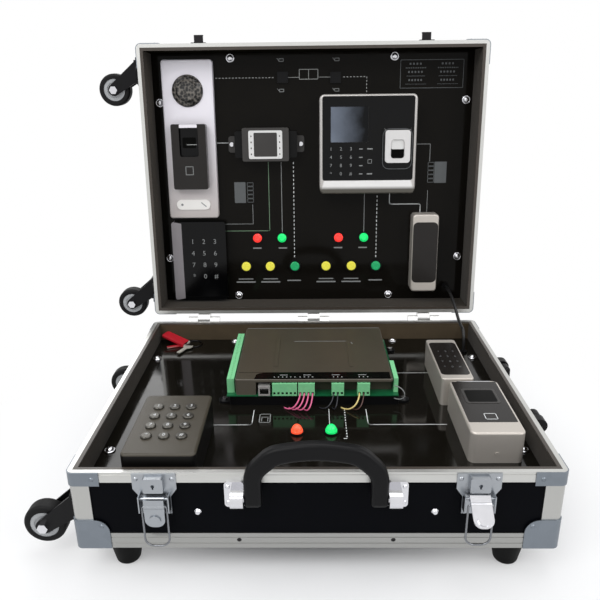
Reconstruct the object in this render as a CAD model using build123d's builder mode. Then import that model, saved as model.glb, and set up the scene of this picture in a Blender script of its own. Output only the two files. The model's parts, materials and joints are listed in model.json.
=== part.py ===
from build123d import *
from math import cos, radians, sin
import os

# A door-entry training kit built into an aluminium-framed carrying case. The case lies on four
# rubber feet with its lid standing open. Black panels in both halves carry the readers, the
# controller, lamps and buttons.
#
# Frame: the origin is the middle of the case's underside, X to the right, Y to the rear and Z up.
# Sizes are in millimetres and angles in degrees.

os.makedirs("parts", exist_ok=True)

# ---------------------------------------------------------------- case
case_width = 540.0
case_depth = 432.0
base_height = 100.0
lid_depth = 80.0
corner_radius = 7.0
least_radius = 0.8
rail_thickness = 1.5
board_thickness = 4.0
lining_thickness = 4.5
floor_lining = 1.5
rim_rail_height = 13.0
edge_rail_height = 20.0
edge_rail_flange = 20.0
angle_width = 23.0
seam = 0.3
groove_width = 1.2
groove_depth = 0.5
rim_gap = 0.6
lid_lean = 3.9

guard_length = 40.0
guard_height = 38.0
guard_thickness = 1.2
guard_round = 16.0
rim_plate_length = 35.0
rim_plate_height = 17.0
rivet_radius = 2.6
rivet_height = 0.9
guard_rivet_inset = 32.0
rail_rivet_span = 172.0
rail_rivet_height = 11.0

foot_radius = 21.0
foot_height = 38.0
foot_round = 5.0
foot_sole_radius = 13.5
foot_play = 0.3
foot_inset_x, foot_inset_y = 48.0, 28.0

# ---------------------------------------------------------------- hinges
hinge_offset = 10.0
hinge_span = 187.0
hinge_width = 53.0
hinge_lid_knuckle = 20.0
knuckle_gap = 0.4
barrel_radius = 4.5
hinge_pin_radius = 2.0
leaf_thickness = 1.5
leaf_drop = 34.0
leaf_height = 23.0
web_drop = 20.0
web_top_drop = 3.0
pin_play = 0.05

# ---------------------------------------------------------------- panels and their stand-offs
base_panel_level = 71.0
lid_panel_level = 29.0
panel_thickness = 4.0
panel_play = 0.5
standoff_radius = 5.0
screw_shank_radius = 2.0
screw_play = 0.2
screw_head_radius = 5.0
screw_head_height = 4.6
side_screw_inset = 10.0
side_screw_span = 260.0
end_screw_inset = 8.0
end_screw_span = 264.0
base_front_screw_span = 230.0
wall_screw_span = 261.0
wall_screw_height = 47.5
wall_screw_radius = 4.0

# ---------------------------------------------------------------- handles
handle_span = 154.0
handle_leg = 19.0
handle_thickness = 14.0
handle_rise = 73.0
handle_shoulder = 38.0
handle_shoulder_inset = 27.0
handle_shoulder_drop = 8.0
handle_foot = 8.0
handle_stand_off = 12.0
handle_round = 4.5
handle_bend = 36.0
handle_inner_bend = 20.0
handle_crown = 150.0
front_pivot_height = 74.0
side_pivot_height = 80.0
handle_pin_radius = 3.0
handle_pin_reach = 14.0
bracket_gap = 0.5
bracket_width = 22.0
bracket_boss_width = 14.0
bracket_boss_radius = 9.5
bracket_plate = 2.0
bracket_drop = 17.0
bracket_top = 15.0

# ---------------------------------------------------------------- latches
latch_span = 350.0
latch_width = 48.0
latch_waist = 34.0
latch_top = 99.0
latch_shoulder = 80.0
latch_waist_height = 70.0
latch_foot = 48.0
latch_sheet = 1.5
lock_width = 22.0
lock_bottom = 79.0
lock_top = 97.0
lock_depth = 7.0
keyhole_radius = 2.0
cheek_inner = 15.5
cheek_thickness = 1.3
cheek_depth = 12.0
cheek_foot = 56.0
cheek_top = 76.0
lever_pivot_height = 71.0
lever_pivot_depth = 6.5
lever_pin_radius = 1.5
lever_width = 22.0
lever_length = 33.0
lever_inner = 3.2
lever_sheet = 2.2
lever_barrel = 3.2
lever_lug_radius = 6.5
lever_lug_height = 1.6
right_lever_open = 55.0
bail_drop = 8.0
bail_wire = 1.2
bail_width = 27.0
bail_length = 53.0
bail_boss = 2.8
bail_bend = 2.2
bail_corner = 10.0
catch_width = 23.0
catch_plate_bottom = 52.0
catch_plate_top = 76.0
catch_sheet = 1.5
catch_hook_width = 14.0
catch_lip = 3.5
catch_clearance = 0.5

# ---------------------------------------------------------------- casters
caster_inset = 38.0
base_caster_height = 35.0
lid_caster_height = 42.0
caster_plate_width = 46.0
caster_plate_length = 62.0
caster_plate_thickness = 2.5
caster_bolt_inset = 6.0
caster_bolt_radius = 3.5
race_radius = 17.0
race_height = 6.0
fork_gap = 0.3
fork_sheet = 2.5
fork_length = 36.0
kingpin_radius = 4.0
kingpin_head_radius = 7.0
kingpin_head_height = 2.5
caster_reach = 47.0
caster_trail = 27.0
wheel_radius = 25.0
wheel_width = 20.0
wheel_side_play = 1.2
hub_radius = 17.0
hub_recess = 1.5
hub_ring = 12.0
axle_radius = 4.0
axle_nut_radius = 6.5
axle_nut_height = 4.0
axle_boss_radius = 9.0

# ---------------------------------------------------------------- readers on the base panel
keypad_from_left, keypad_from_front = 96.5, 83.5
keypad_width, keypad_length, keypad_height = 84.0, 135.0, 41.0
keypad_radius = 6.0
key_radius = 6.5
key_pitch_x, key_pitch_y = 20.3, 22.2
key_rows_shift = 1.9
key_play = 0.1
key_proud = 2.6
key_travel = 1.5
key_mat = 1.5
key_mat_margin = 4.0
key_mat_gap = 0.3
reader_wall = 3.0
screw_boss_radius = 2.5
pin_from_right, readers_apart = 77.3, 5.0
pin_width, pin_length, pin_height = 43.5, 131.0, 40.0
pin_pane_inset, pin_pane_end = 3.5, 14.0
finger_from_right, finger_from_front = 59.5, 124.5
finger_width, finger_length, finger_height = 64.0, 131.0, 40.0
finger_pane_width, finger_pane_length = 54.0, 98.0
finger_recess_width, finger_recess_length = 30.0, 36.0
finger_recess_depth = 6.0
finger_screw_height = 12.0
reader_radius = 8.0
pane_depth = 0.6

# ---------------------------------------------------------------- controller on the base panel
controller_x = -1.0
controller_front = -19.0
cover_width, cover_depth = 214.0, 180.0
tray_height = 14.0
tray_width, tray_depth = 232.0, 188.0
tray_wall = 2.5
tray_ear_radius = 8.0
tray_ear_thickness = 3.0
board_sheet = 1.6
board_left, board_right = 12.0, 8.0
cover_height = 23.4
cover_wall = 2.0
cover_lip = 4.0
cover_notch_depth = 15.0
cover_notch_left = 28.0
cover_radius = 4.0
rib_width, rib_length, rib_height = 6.0, 105.0, 0.8
terminal_pitch = 5.6
terminal_depth, terminal_height = 14.0, 18.0
terminal_mouth = 3.0
terminal_overhang = 3.0
terminal_ways = (6, 4, 3, 3)
terminal_lefts = (-57.5, -22.3, 23.0, 58.0)
side_terminal_width, side_terminal_height = 10.0, 21.0
left_terminal_ways = 28
right_terminal_ways = 10
jack_x = -68.5
jack_width, jack_depth, jack_height = 16.0, 16.0, 14.0
jack_mouth_width, jack_mouth_height, jack_mouth_depth = 11.8, 8.0, 11.0

# ---------------------------------------------------------------- lamps and buttons
lamp_collar_radius = 9.0
lamp_collar_height = 2.0
lamp_lens_radius = 7.5
lamp_lens_height = 7.5
lamp_body_radius = 7.0
lamp_body_length = 18.0
lens_seat = 1.0
lens_play = 0.2
base_lamp_span = 44.0
base_lamp_y = -90.0
button_radius = 7.8
button_proud = 6.0
button_sunk = 6.0
button_travel = 3.0
button_round = 1.5
button_play = 0.1
button_collar_radius = 10.5
button_body_radius = 9.0
hole_play = 0.2
lid_lamp_y = -95.0
lid_lamp_places_along = (21.0, 63.4, 160.8, 204.3)
button_y = -145.0
button_row_length = 226.0
row_share = 0.3165468
buttons_along = {
    "button_yellow_1": 0.0,
    "button_yellow_2": 42.0,
    "button_green_1": 85.0,
    "button_yellow_3": 139.3,
    "button_yellow_4": 183.4,
    "button_green_2": 226.0,
}

# ---------------------------------------------------------------- devices on the lid panel
station_from_left, station_from_top = 68.5, 20.0
station_width, station_height = 83.0, 12.0
station_gap = 6.5
dome_from_top, dome_radius, dome_height = 48.0, 25.0, 9.0
station_reader_share = 0.4185022
station_reader_width, station_reader_length, station_reader_height = 56.5, 104.6, 15.0
emblem_from_bottom, emblem_width, emblem_length = 23.0, 56.0, 16.0
emblem_height = 1.2
touch_from_left, touch_from_bottom = 74.5, 83.0
touch_width, touch_length, touch_height = 92.0, 137.0, 15.0
touch_strip = 15.0
module_gap, module_y = 20.4, 63.0
module_width, module_length, module_height = 76.0, 53.0, 25.0
module_step_width, module_step_height = 102.0, 17.0
module_ear_width, module_ear_height = 125.6, 3.0
module_ear_screw_inset = 5.5
module_frame_width, module_frame_length, module_frame_height = 55.0, 45.0, 1.2
module_tile = 38.0
square_places = ((-48.0, 167.5), (37.5, 166.5))
square_size, square_height = 17.0, 4.0
terminal_gap, terminal_y = 25.0, 61.5
terminal_width, terminal_length, terminal_depth_total = 156.0, 157.0, 34.0
terminal_band = 19.0
terminal_rim = 3.0
screen_x, screen_y, screen_width, screen_length = -30.0, 32.0, 60.0, 55.0
sensor_x, sensor_y = 47.0, -6.5
sensor_surround_width, sensor_surround_length, sensor_surround_height = 50.0, 66.0, 3.0
sensor_width, sensor_length, sensor_height = 40.0, 51.0, 9.0
sensor_recess_width, sensor_recess_length, sensor_recess_depth = 22.0, 30.0, 6.0
card_from_right, card_from_bottom = 81.0, 96.7
card_width, card_length, card_height = 44.0, 133.0, 27.0

# ---------------------------------------------------------------- power supply under the base panel
supply_x = 30.0
supply_width, supply_depth, supply_height = 150.0, 98.0, 40.0
inlet_x = 66.0
inlet_level = 34.0
inlet_width, inlet_height = 27.0, 19.0
inlet_flange_width, inlet_flange_height, inlet_flange = 48.0, 25.0, 2.5
inlet_mouth_width, inlet_mouth_height, inlet_mouth_depth = 22.0, 14.0, 12.0
inlet_play = 0.3

# ---------------------------------------------------------------- cable between the two panels
cable_diameter = 5.0
cable_collar_radius = 6.0
cable_collar_height = 3.0
lid_collar_from_right, lid_collar_from_bottom = 38.0, 34.0
base_collar_from_right, base_collar_from_rear = 30.0, 66.0
cable_first_run = 28.0
cable_last_run = 32.0
cable_rim_from_right, cable_rim_behind, cable_over_rim = 34.0, 5.0, 31.0
cable_dip_from_right, cable_dip_before, cable_over_edge = 31.0, 30.0, 7.0
cable_turn_share = 0.45

# ---------------------------------------------------------------- worked out from the sizes above
wall = rail_thickness + board_thickness + lining_thickness
lining_outer = rail_thickness + board_thickness
floor_level = rail_thickness + board_thickness + floor_lining
inner_x = case_width / 2 - wall
inner_y = case_depth / 2 - wall
half_width = case_width / 2
half_depth = case_depth / 2
foot_span_x = case_width - 2 * foot_inset_x
foot_span_y = case_depth - 2 * foot_inset_y
caster_span = case_depth - 2 * caster_inset

keypad_x = keypad_from_left - half_width
keypad_y = keypad_from_front - half_depth
finger_x = half_width - finger_from_right
finger_y = finger_from_front - half_depth
pin_x = half_width - pin_from_right
pin_y = finger_y + (finger_length + pin_length) / 2 + readers_apart

touch_x = touch_from_left - half_width
touch_y = touch_from_bottom - half_depth
card_x = half_width - card_from_right
card_y = card_from_bottom - half_depth
station_top_y = half_depth - station_from_top
station_length = station_top_y - touch_y - touch_length / 2 - station_gap
station_x = station_from_left - half_width
station_y = station_top_y - station_length / 2
dome_y = station_length / 2 - dome_from_top
emblem_y = emblem_from_bottom - station_length / 2
reader_low = emblem_y + emblem_length / 2
reader_room = dome_y - dome_radius - reader_low - station_reader_length
station_reader_y = reader_low + reader_room * station_reader_share + station_reader_length / 2
module_x = station_x + (station_width + module_ear_width) / 2 + module_gap
terminal_x = module_x + (module_ear_width + terminal_width) / 2 + terminal_gap
row_start = touch_x + touch_width / 2 + button_collar_radius
row_room = card_x - card_width / 2 - button_collar_radius - row_start - button_row_length
row_x = row_start + row_room * row_share
lid_lamps_x = [row_x + along for along in lid_lamp_places_along]
buttons_x = {name: row_x + along for name, along in buttons_along.items()}

lid_collar_x = half_width - lid_collar_from_right
lid_collar_y = lid_collar_from_bottom - half_depth
base_collar_x = half_width - base_collar_from_right
base_collar_y = half_depth - base_collar_from_rear
open_angle = 90.0 + lid_lean
pin_y_place = case_depth / 2 + hinge_offset
pin_z_place = base_height + rim_gap / 2

# The lid's plane: its z runs from the lid's outer face to its rim, its y up the open lid.
swing = radians(open_angle)
lid_edge_y = pin_y_place - hinge_offset * cos(swing) + rim_gap / 2 * sin(swing)
lid_edge_z = pin_z_place + hinge_offset * sin(swing) + rim_gap / 2 * cos(swing)
lean = radians(lid_lean)
lid_up = Vector(0, sin(lean), cos(lean))
lid_out = Vector(0, -cos(lean), sin(lean))
lid_origin = Vector(0, lid_edge_y, lid_edge_z) + lid_up * (case_depth / 2) - lid_out * lid_depth
base_half = Plane.XY
lid_half = Plane(origin=lid_origin, x_dir=(1, 0, 0), z_dir=lid_out)
base_face = base_half.offset(base_panel_level)
lid_face = lid_half.offset(lid_panel_level)

FRONT, RIGHT, BACK, LEFT = (0, -1), (1, 0), (0, 1), (-1, 0)


# ---------------------------------------------------------------- shared steps
def save(piece, name):
    """Label a finished sub-part and write it to its own STEP file."""
    piece.part.label = name
    export_step(piece.part, f"parts/{name}.step")


def at(plane, x, y, z=0.0):
    """The place x, y, z in a plane's own directions."""
    return plane.location * Location((x, y, z))


def outline(inset, mode=Mode.ADD):
    """The case's rounded outline, drawn a given distance inside its outer faces."""
    radius = max(corner_radius - inset, least_radius)
    RectangleRounded(case_width - 2 * inset, case_depth - 2 * inset, radius, mode=mode)


def wall_plane(half, side):
    """An outer wall of one half: x along it, y towards the rim and z outwards."""
    reach = case_width / 2 if side[0] else case_depth / 2
    outwards = half.x_dir * side[0] + half.y_dir * side[1]
    return Plane(
        origin=half.origin + outwards * reach,
        x_dir=half.z_dir.cross(outwards),
        z_dir=outwards,
    )


def side_profile(plane, offset=0.0):
    """The plane across a wall: x outwards, y towards the rim and z along the wall."""
    return Plane(
        origin=plane.origin - plane.x_dir * offset,
        x_dir=plane.z_dir,
        z_dir=plane.x_dir * -1,
    )


def panel_screw_places(front_span):
    """The eight screw places round a panel."""
    side_x = inner_x - side_screw_inset
    end_y = inner_y - end_screw_inset
    places = [(x, y) for x in (-side_x, side_x) for y in (-side_screw_span / 2, side_screw_span / 2)]
    places += [(x, end_y) for x in (-end_screw_span / 2, end_screw_span / 2)]
    places += [(x, -end_y) for x in (-front_span / 2, front_span / 2)]
    return places


# ---------------------------------------------------------------- the two halves of the case
def make_board(half, height):
    """The tray of board that the rails hold together."""
    with BuildPart() as board:
        with BuildSketch(half.offset(rail_thickness)):
            outline(rail_thickness)
        extrude(amount=height - 2 * rail_thickness)
        with BuildSketch(half.offset(lining_outer)):
            outline(lining_outer)
        extrude(amount=height, mode=Mode.SUBTRACT)
    return board


def make_lining(half, height):
    """The dark lining on the floor and walls of one half."""
    with BuildPart() as lining:
        with BuildSketch(half.offset(lining_outer)):
            outline(lining_outer)
        extrude(amount=height - rail_thickness - lining_outer)
        with BuildSketch(half.offset(floor_level)):
            outline(wall)
        extrude(amount=height, mode=Mode.SUBTRACT)
    return lining


def make_rails(half, height):
    """The aluminium rim rail, outer edge rail and four corner angles of one half."""
    angle_bottom = edge_rail_height + seam
    angle_top = height - rim_rail_height - seam
    with BuildPart() as rails:
        with BuildSketch(half):
            outline(0)
            outline(edge_rail_flange, mode=Mode.SUBTRACT)
        extrude(amount=rail_thickness)
        with BuildSketch(half):
            outline(0)
            outline(rail_thickness, mode=Mode.SUBTRACT)
        extrude(amount=edge_rail_height)
        with BuildSketch(half.offset(height - rim_rail_height)):
            outline(0)
            outline(rail_thickness, mode=Mode.SUBTRACT)
        extrude(amount=rim_rail_height)
        with BuildSketch(half.offset(height - rail_thickness)):
            outline(0)
            outline(wall, mode=Mode.SUBTRACT)
        extrude(amount=rail_thickness)
        groove_levels = (
            edge_rail_height * 0.3,
            edge_rail_height * 0.7,
            height - 3 * groove_width,
        )
        for level in groove_levels:
            with BuildSketch(half.offset(level)):
                outline(-groove_depth)
                outline(groove_depth, mode=Mode.SUBTRACT)
            extrude(amount=groove_width, mode=Mode.SUBTRACT)
        with BuildSketch(half.offset(angle_bottom)):
            outline(0)
            outline(rail_thickness, mode=Mode.SUBTRACT)
            Rectangle(case_width - 2 * angle_width, 2 * case_depth, mode=Mode.SUBTRACT)
            Rectangle(2 * case_width, case_depth - 2 * angle_width, mode=Mode.SUBTRACT)
        extrude(amount=angle_top - angle_bottom)
    return rails


def make_guards(half, height, caster_height):
    """The riveted steel guards on the outer corners and the plates on the rim corners."""
    with BuildPart() as guards:
        with BuildSketch(half):
            outline(-guard_thickness)
            outline(0, mode=Mode.SUBTRACT)
            Rectangle(case_width - 2 * guard_length, 2 * case_depth, mode=Mode.SUBTRACT)
            Rectangle(2 * case_width, case_depth - 2 * guard_length, mode=Mode.SUBTRACT)
        extrude(amount=guard_height)
        short = guards.edges().filter_by(lambda e: abs(e.length - guard_thickness) < 0.01)
        upper = short.filter_by(lambda e: abs(half.to_local_coords(e.center()).Z - guard_height) < 0.01)
        ends = upper.filter_by(
            lambda e: abs(abs(half.to_local_coords(e.center()).X) - case_width / 2 + guard_length) < 0.01
            or abs(abs(half.to_local_coords(e.center()).Y) - case_depth / 2 + guard_length) < 0.01
        )
        fillet(ends, guard_round)
        with BuildSketch(half.offset(height - rim_plate_height)):
            outline(-guard_thickness)
            outline(0, mode=Mode.SUBTRACT)
            Rectangle(case_width - 2 * rim_plate_length, 2 * case_depth, mode=Mode.SUBTRACT)
            Rectangle(2 * case_width, case_depth - 2 * rim_plate_length, mode=Mode.SUBTRACT)
        extrude(amount=rim_plate_height - seam)
        rivet_places = []
        for side in (FRONT, RIGHT, BACK, LEFT):
            face = wall_plane(half, side)
            reach = (case_depth if side[0] else case_width) / 2
            for end in (-1, 1):
                for inset, level in (
                    (guard_rivet_inset, guard_height - rivet_radius * 3),
                    (rim_plate_length - rivet_radius * 3, height - rim_plate_height / 2),
                ):
                    across = end * (reach - inset)
                    rivet_places.append(at(face, across, level, guard_thickness + rivet_height / 2))
        with Locations(*rivet_places):
            Cone(rivet_radius, rivet_radius * 0.6, rivet_height)
        left = wall_plane(half, LEFT)
        for end in (-1, 1):
            with Locations(at(left, end * caster_span / 2, caster_height)):
                Box(
                    caster_plate_width + 2 * seam,
                    caster_plate_length + 2 * seam,
                    4 * (guard_thickness + rivet_height),
                    mode=Mode.SUBTRACT,
                )
    return guards


def make_standoffs(half, level, front_span):
    """Posts on the case floor with the domed screws that hold a panel down on them."""
    with BuildPart() as standoffs:
        places = panel_screw_places(front_span)
        with BuildSketch(half.offset(floor_level)):
            with Locations(*places):
                Circle(standoff_radius)
        extrude(amount=level - panel_thickness - floor_level)
        with BuildSketch(half.offset(level - panel_thickness)):
            with Locations(*places):
                Circle(screw_shank_radius)
        extrude(amount=panel_thickness)
        with BuildSketch(half.offset(level)):
            with Locations(*places):
                Circle(screw_head_radius)
        extrude(amount=screw_head_height)
        tops = standoffs.edges().filter_by(GeomType.CIRCLE).filter_by(
            lambda e: abs(half.to_local_coords(e.center()).Z - level - screw_head_height) < 0.01
        )
        fillet(tops, screw_head_height * 0.75)
    return standoffs


def make_panel(half, level, front_span, holes):
    """A panel of black acrylic with its screw holes and the holes given as x, y, radius."""
    with BuildPart() as panel:
        with BuildSketch(half.offset(level - panel_thickness)):
            outline(wall + panel_play)
            with Locations(*panel_screw_places(front_span)):
                Circle(screw_shank_radius + screw_play, mode=Mode.SUBTRACT)
            for x, y, radius in holes:
                with Locations((x, y)):
                    Circle(radius, mode=Mode.SUBTRACT)
        extrude(amount=panel_thickness)
    return panel


# ---------------------------------------------------------------- hinges
def make_leaves(half, side, height, knuckles, pin_radius, bore_radius):
    """Three hinge leaves on one half; knuckles are the x ranges of the barrels."""
    back = wall_plane(half, side)
    turn = side[1]
    pin_level = height + rim_gap / 2
    with BuildPart() as leaves:
        for middle in (-hinge_span, 0.0, hinge_span):
            with BuildSketch(back):
                with Locations((-turn * middle, height - leaf_drop + leaf_height / 2)):
                    RectangleRounded(hinge_width, leaf_height, 2.0)
            extrude(amount=leaf_thickness)
            for low, high in knuckles:
                start = -turn * middle + low
                with BuildSketch(side_profile(back, -start)):
                    with Locations((hinge_offset, pin_level)):
                        Circle(barrel_radius)
                    slant = barrel_radius * sin(radians(45))
                    Polygon(
                        (0, height - web_drop),
                        (leaf_thickness, height - web_drop),
                        (hinge_offset + slant, pin_level - slant),
                        (hinge_offset - slant, pin_level + slant),
                        (0, height - web_top_drop),
                        align=None,
                    )
                    if bore_radius:
                        with Locations((hinge_offset, pin_level)):
                            Circle(bore_radius, mode=Mode.SUBTRACT)
                extrude(amount=low - high)
            if pin_radius:
                start = -turn * middle - hinge_width / 2
                with BuildSketch(side_profile(back, -start)):
                    with Locations((hinge_offset, pin_level)):
                        Circle(pin_radius)
                extrude(amount=-hinge_width)
            with Locations(
                *[
                    at(back, -turn * middle + x, height - leaf_drop + y, leaf_thickness + rivet_height / 2)
                    for x in (-hinge_width / 3, hinge_width / 3)
                    for y in (leaf_height * 0.25, leaf_height * 0.6)
                ]
            ):
                Cone(rivet_radius, rivet_radius * 0.6, rivet_height)
    return leaves


# ---------------------------------------------------------------- handles
def make_handle(wall_face, pivot_height, direction):
    """A carrying handle: direction 1 stands it up from its pivots, -1 hangs it down."""
    plane = Plane(
        origin=at(wall_face, 0, pivot_height, handle_stand_off).position,
        x_dir=wall_face.x_dir * direction,
        z_dir=wall_face.z_dir,
    )
    half_span = handle_span / 2
    inner_span = half_span - handle_leg
    outer_points = [
        (-half_span, -handle_foot),
        (-half_span, handle_shoulder),
        (-half_span + handle_shoulder_inset, handle_rise - handle_shoulder_drop),
        (0, handle_rise),
        (half_span - handle_shoulder_inset, handle_rise - handle_shoulder_drop),
        (half_span, handle_shoulder),
        (half_span, -handle_foot),
    ]
    slope = handle_leg * 0.45
    crown_reach = inner_span - handle_shoulder_inset
    inner_points = [
        (inner_span, -handle_foot),
        (inner_span, handle_shoulder - slope),
        (inner_span - handle_shoulder_inset + slope, handle_rise - handle_shoulder_drop - handle_leg),
        (0, handle_rise - handle_leg),
        (-inner_span + handle_shoulder_inset - slope, handle_rise - handle_shoulder_drop - handle_leg),
        (-inner_span, handle_shoulder - slope),
        (-inner_span, -handle_foot),
    ]
    with BuildPart() as handle:
        with BuildSketch(plane) as handle_outline:
            Polygon(*outer_points, *inner_points, align=None)
            crowns = handle_outline.vertices().filter_by(lambda v: abs(v.X) < 0.01)
            fillet(crowns, handle_crown)
            bends = handle_outline.vertices().filter_by(
                lambda v: v.Y > 0 and abs(v.X) > crown_reach
            )
            middle_reach = half_span - handle_leg / 8
            fillet(bends.filter_by(lambda v: v.center().length > middle_reach), handle_bend)
            inner_bends = handle_outline.vertices().filter_by(
                lambda v: v.Y > 0 and abs(v.X) > crown_reach and v.center().length < middle_reach
            )
            fillet(inner_bends, handle_inner_bend)
        extrude(amount=handle_thickness / 2, both=True)
        feet = handle.edges().filter_by(
            lambda e: abs(plane.to_local_coords(e.center()).Y + handle_foot) < 0.01
            and abs(abs(plane.to_local_coords(e.center()).Z) - handle_thickness / 2) < 0.01
        )
        fillet(feet, handle_thickness * 0.45)
        rims = handle.edges().filter_by(
            lambda e: abs(abs(plane.to_local_coords(e.center()).Z) - handle_thickness / 2) < 0.01
            and plane.to_local_coords(e.center()).Y > 0
        )
        fillet(rims, handle_round)
        for end in (-1, 1):
            bore_middle = end * (half_span - handle_pin_reach / 2)
            bore = Plane(
                origin=at(plane, bore_middle, 0).position,
                x_dir=plane.y_dir,
                z_dir=plane.x_dir,
            )
            with BuildSketch(bore):
                Circle(handle_pin_radius + pin_play)
            extrude(amount=handle_pin_reach / 2 + 1.0, both=True, mode=Mode.SUBTRACT)
    return handle


def make_brackets(wall_face, pivot_height):
    """The two brackets of one handle with their pivot pins."""
    with BuildPart() as brackets:
        for end in (-1, 1):
            start = end * (handle_span / 2 + bracket_gap)
            boss_low = min(start, start + end * bracket_boss_width)
            across = Plane(
                origin=at(wall_face, boss_low, pivot_height, handle_stand_off).position,
                x_dir=wall_face.z_dir,
                z_dir=wall_face.x_dir,
            )
            plate_middle = (
                start + end * bracket_width / 2,
                pivot_height + (bracket_top - bracket_drop) / 2,
            )
            with BuildSketch(wall_face):
                with Locations(plate_middle):
                    RectangleRounded(bracket_width, bracket_top + bracket_drop, 4.0)
            extrude(amount=bracket_plate)
            arm = handle_stand_off - bracket_plate / 2
            with BuildSketch(across):
                Circle(bracket_boss_radius)
                with Locations((-arm / 2, 0)):
                    Rectangle(arm, 2 * bracket_boss_radius)
            extrude(amount=bracket_boss_width)
            pin_plane = across if end > 0 else across.offset(bracket_boss_width)
            with BuildSketch(pin_plane):
                Circle(handle_pin_radius)
            extrude(amount=-end * (handle_pin_reach + bracket_gap))
            screw_x = start + end * (bracket_width + bracket_boss_width) / 2
            head = bracket_plate + rivet_height / 2
            with Locations(
                at(wall_face, screw_x, pivot_height + bracket_top * 0.6, head),
                at(wall_face, screw_x, pivot_height - bracket_drop * 0.65, head),
            ):
                Cone(rivet_radius, rivet_radius * 0.6, rivet_height)
    return brackets


# ---------------------------------------------------------------- latches
def make_latch_plates(front):
    """The fixed plates of both latches with lock housings, cheeks and lever pins."""
    with BuildPart() as plates:
        for middle in (-latch_span / 2, latch_span / 2):
            lock_middle = (middle, (lock_bottom + lock_top) / 2)
            with BuildSketch(front):
                with Locations((middle, 0)):
                    Polygon(
                        (-latch_width / 2, latch_top),
                        (-latch_width / 2, latch_shoulder),
                        (-latch_waist / 2, latch_waist_height),
                        (-latch_waist / 2, latch_foot),
                        (latch_waist / 2, latch_foot),
                        (latch_waist / 2, latch_waist_height),
                        (latch_width / 2, latch_shoulder),
                        (latch_width / 2, latch_top),
                        align=None,
                    )
            extrude(amount=latch_sheet)
            with BuildSketch(front.offset(latch_sheet)):
                with Locations(lock_middle):
                    RectangleRounded(lock_width, lock_top - lock_bottom, 2.0)
            extrude(amount=lock_depth)
            with BuildSketch(front.offset(latch_sheet + lock_depth)):
                with Locations(lock_middle):
                    Circle(keyhole_radius)
                    with Locations((0, -keyhole_radius)):
                        Rectangle(keyhole_radius * 0.9, keyhole_radius * 2)
            extrude(amount=-lock_depth * 0.7, mode=Mode.SUBTRACT)
            cheek_offset = cheek_inner + cheek_thickness / 2
            with BuildSketch(front.offset(latch_sheet / 2)):
                with Locations((middle, (cheek_foot + cheek_top) / 2)):
                    with Locations((-cheek_offset, 0), (cheek_offset, 0)):
                        Rectangle(cheek_thickness, cheek_top - cheek_foot)
            extrude(amount=cheek_depth - latch_sheet / 2)
            with BuildSketch(side_profile(front, cheek_offset - middle)):
                with Locations((lever_pivot_depth, lever_pivot_height)):
                    Circle(lever_pin_radius)
            extrude(amount=-2 * cheek_offset)
            screw_x = (latch_width / 2 + cheek_inner) / 2
            screw_y = latch_top - 2.5 * rivet_radius
            head = latch_sheet + rivet_height / 2
            with Locations(
                at(front, middle - screw_x, screw_y, head),
                at(front, middle + screw_x, screw_y, head),
            ):
                Cone(rivet_radius, rivet_radius * 0.6, rivet_height)
    return plates


def lever_plane(front, middle, opened):
    """A lever's own plane at its pivot: y up the closed lever and z outwards, turned when open."""
    pivot = at(front, middle, lever_pivot_height, lever_pivot_depth)
    return Plane(pivot * Location((0, 0, 0), (-opened, 0, 0)))


def make_lever(front, middle, opened):
    """A latch lever on its pin, opened by the given angle."""
    plane = lever_plane(front, middle, opened)
    edge = Plane(
        origin=at(plane, -lever_width / 2, 0).position,
        x_dir=plane.z_dir,
        z_dir=plane.x_dir * -1,
    )
    with BuildPart() as lever:
        with BuildSketch(edge):
            Circle(lever_barrel)
            with Locations(((lever_inner + lever_sheet) / 2, -lever_barrel / 4)):
                Rectangle(lever_inner + lever_sheet, lever_barrel * 1.5)
            with Locations((lever_inner, -bail_drop)):
                Circle(bail_boss)
            Polygon(
                (lever_inner, 0),
                (lever_inner + lever_sheet, 0),
                (lever_inner + lever_sheet, -lever_length),
                (lever_inner, -lever_length),
                align=None,
            )
        extrude(amount=-lever_width)
        tip = lever.edges().filter_by(
            lambda e: abs(plane.to_local_coords(e.center()).Y + lever_length) < 0.01
            and abs(e.length - lever_sheet) < 0.01
        )
        fillet(tip, lever_width * 0.42)
        with BuildSketch(plane.offset(lever_inner + lever_sheet)):
            with Locations((0, -lever_length + lever_lug_radius + 2.0)):
                Circle(lever_lug_radius)
        extrude(amount=lever_lug_height)
        with BuildSketch(edge):
            Circle(lever_pin_radius + pin_play)
            with Locations((lever_inner, -bail_drop)):
                Circle(bail_wire + pin_play)
        extrude(amount=-lever_width, mode=Mode.SUBTRACT)
    return lever


def make_bail(front, middle, opened):
    """The wire loop that hangs from a lever."""
    hook = at(lever_plane(front, middle, opened), 0, -bail_drop, lever_inner).position
    plane = Plane(origin=hook, x_dir=front.x_dir, z_dir=front.z_dir)
    half = bail_width / 2
    foot = -bail_length + bail_wire
    with BuildPart() as bail:
        with BuildLine(plane) as loop:
            FilletPolyline(
                (bail_wire, 0),
                (half, 0),
                (half, foot),
                (-half, foot),
                (-half, 0),
                (-bail_wire, 0),
                radius=[bail_bend, bail_corner, bail_corner, bail_bend],
            )
        with BuildSketch(Plane(origin=loop.wire() @ 0, x_dir=front.y_dir, z_dir=front.x_dir)):
            Circle(bail_wire)
        sweep(path=loop.wire())
    return bail


# ---------------------------------------------------------------- casters
def caster_point(half, height, end):
    """Where a caster's swivel axis leaves the left wall."""
    return at(wall_plane(half, LEFT), end * caster_span / 2, height).position


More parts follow.
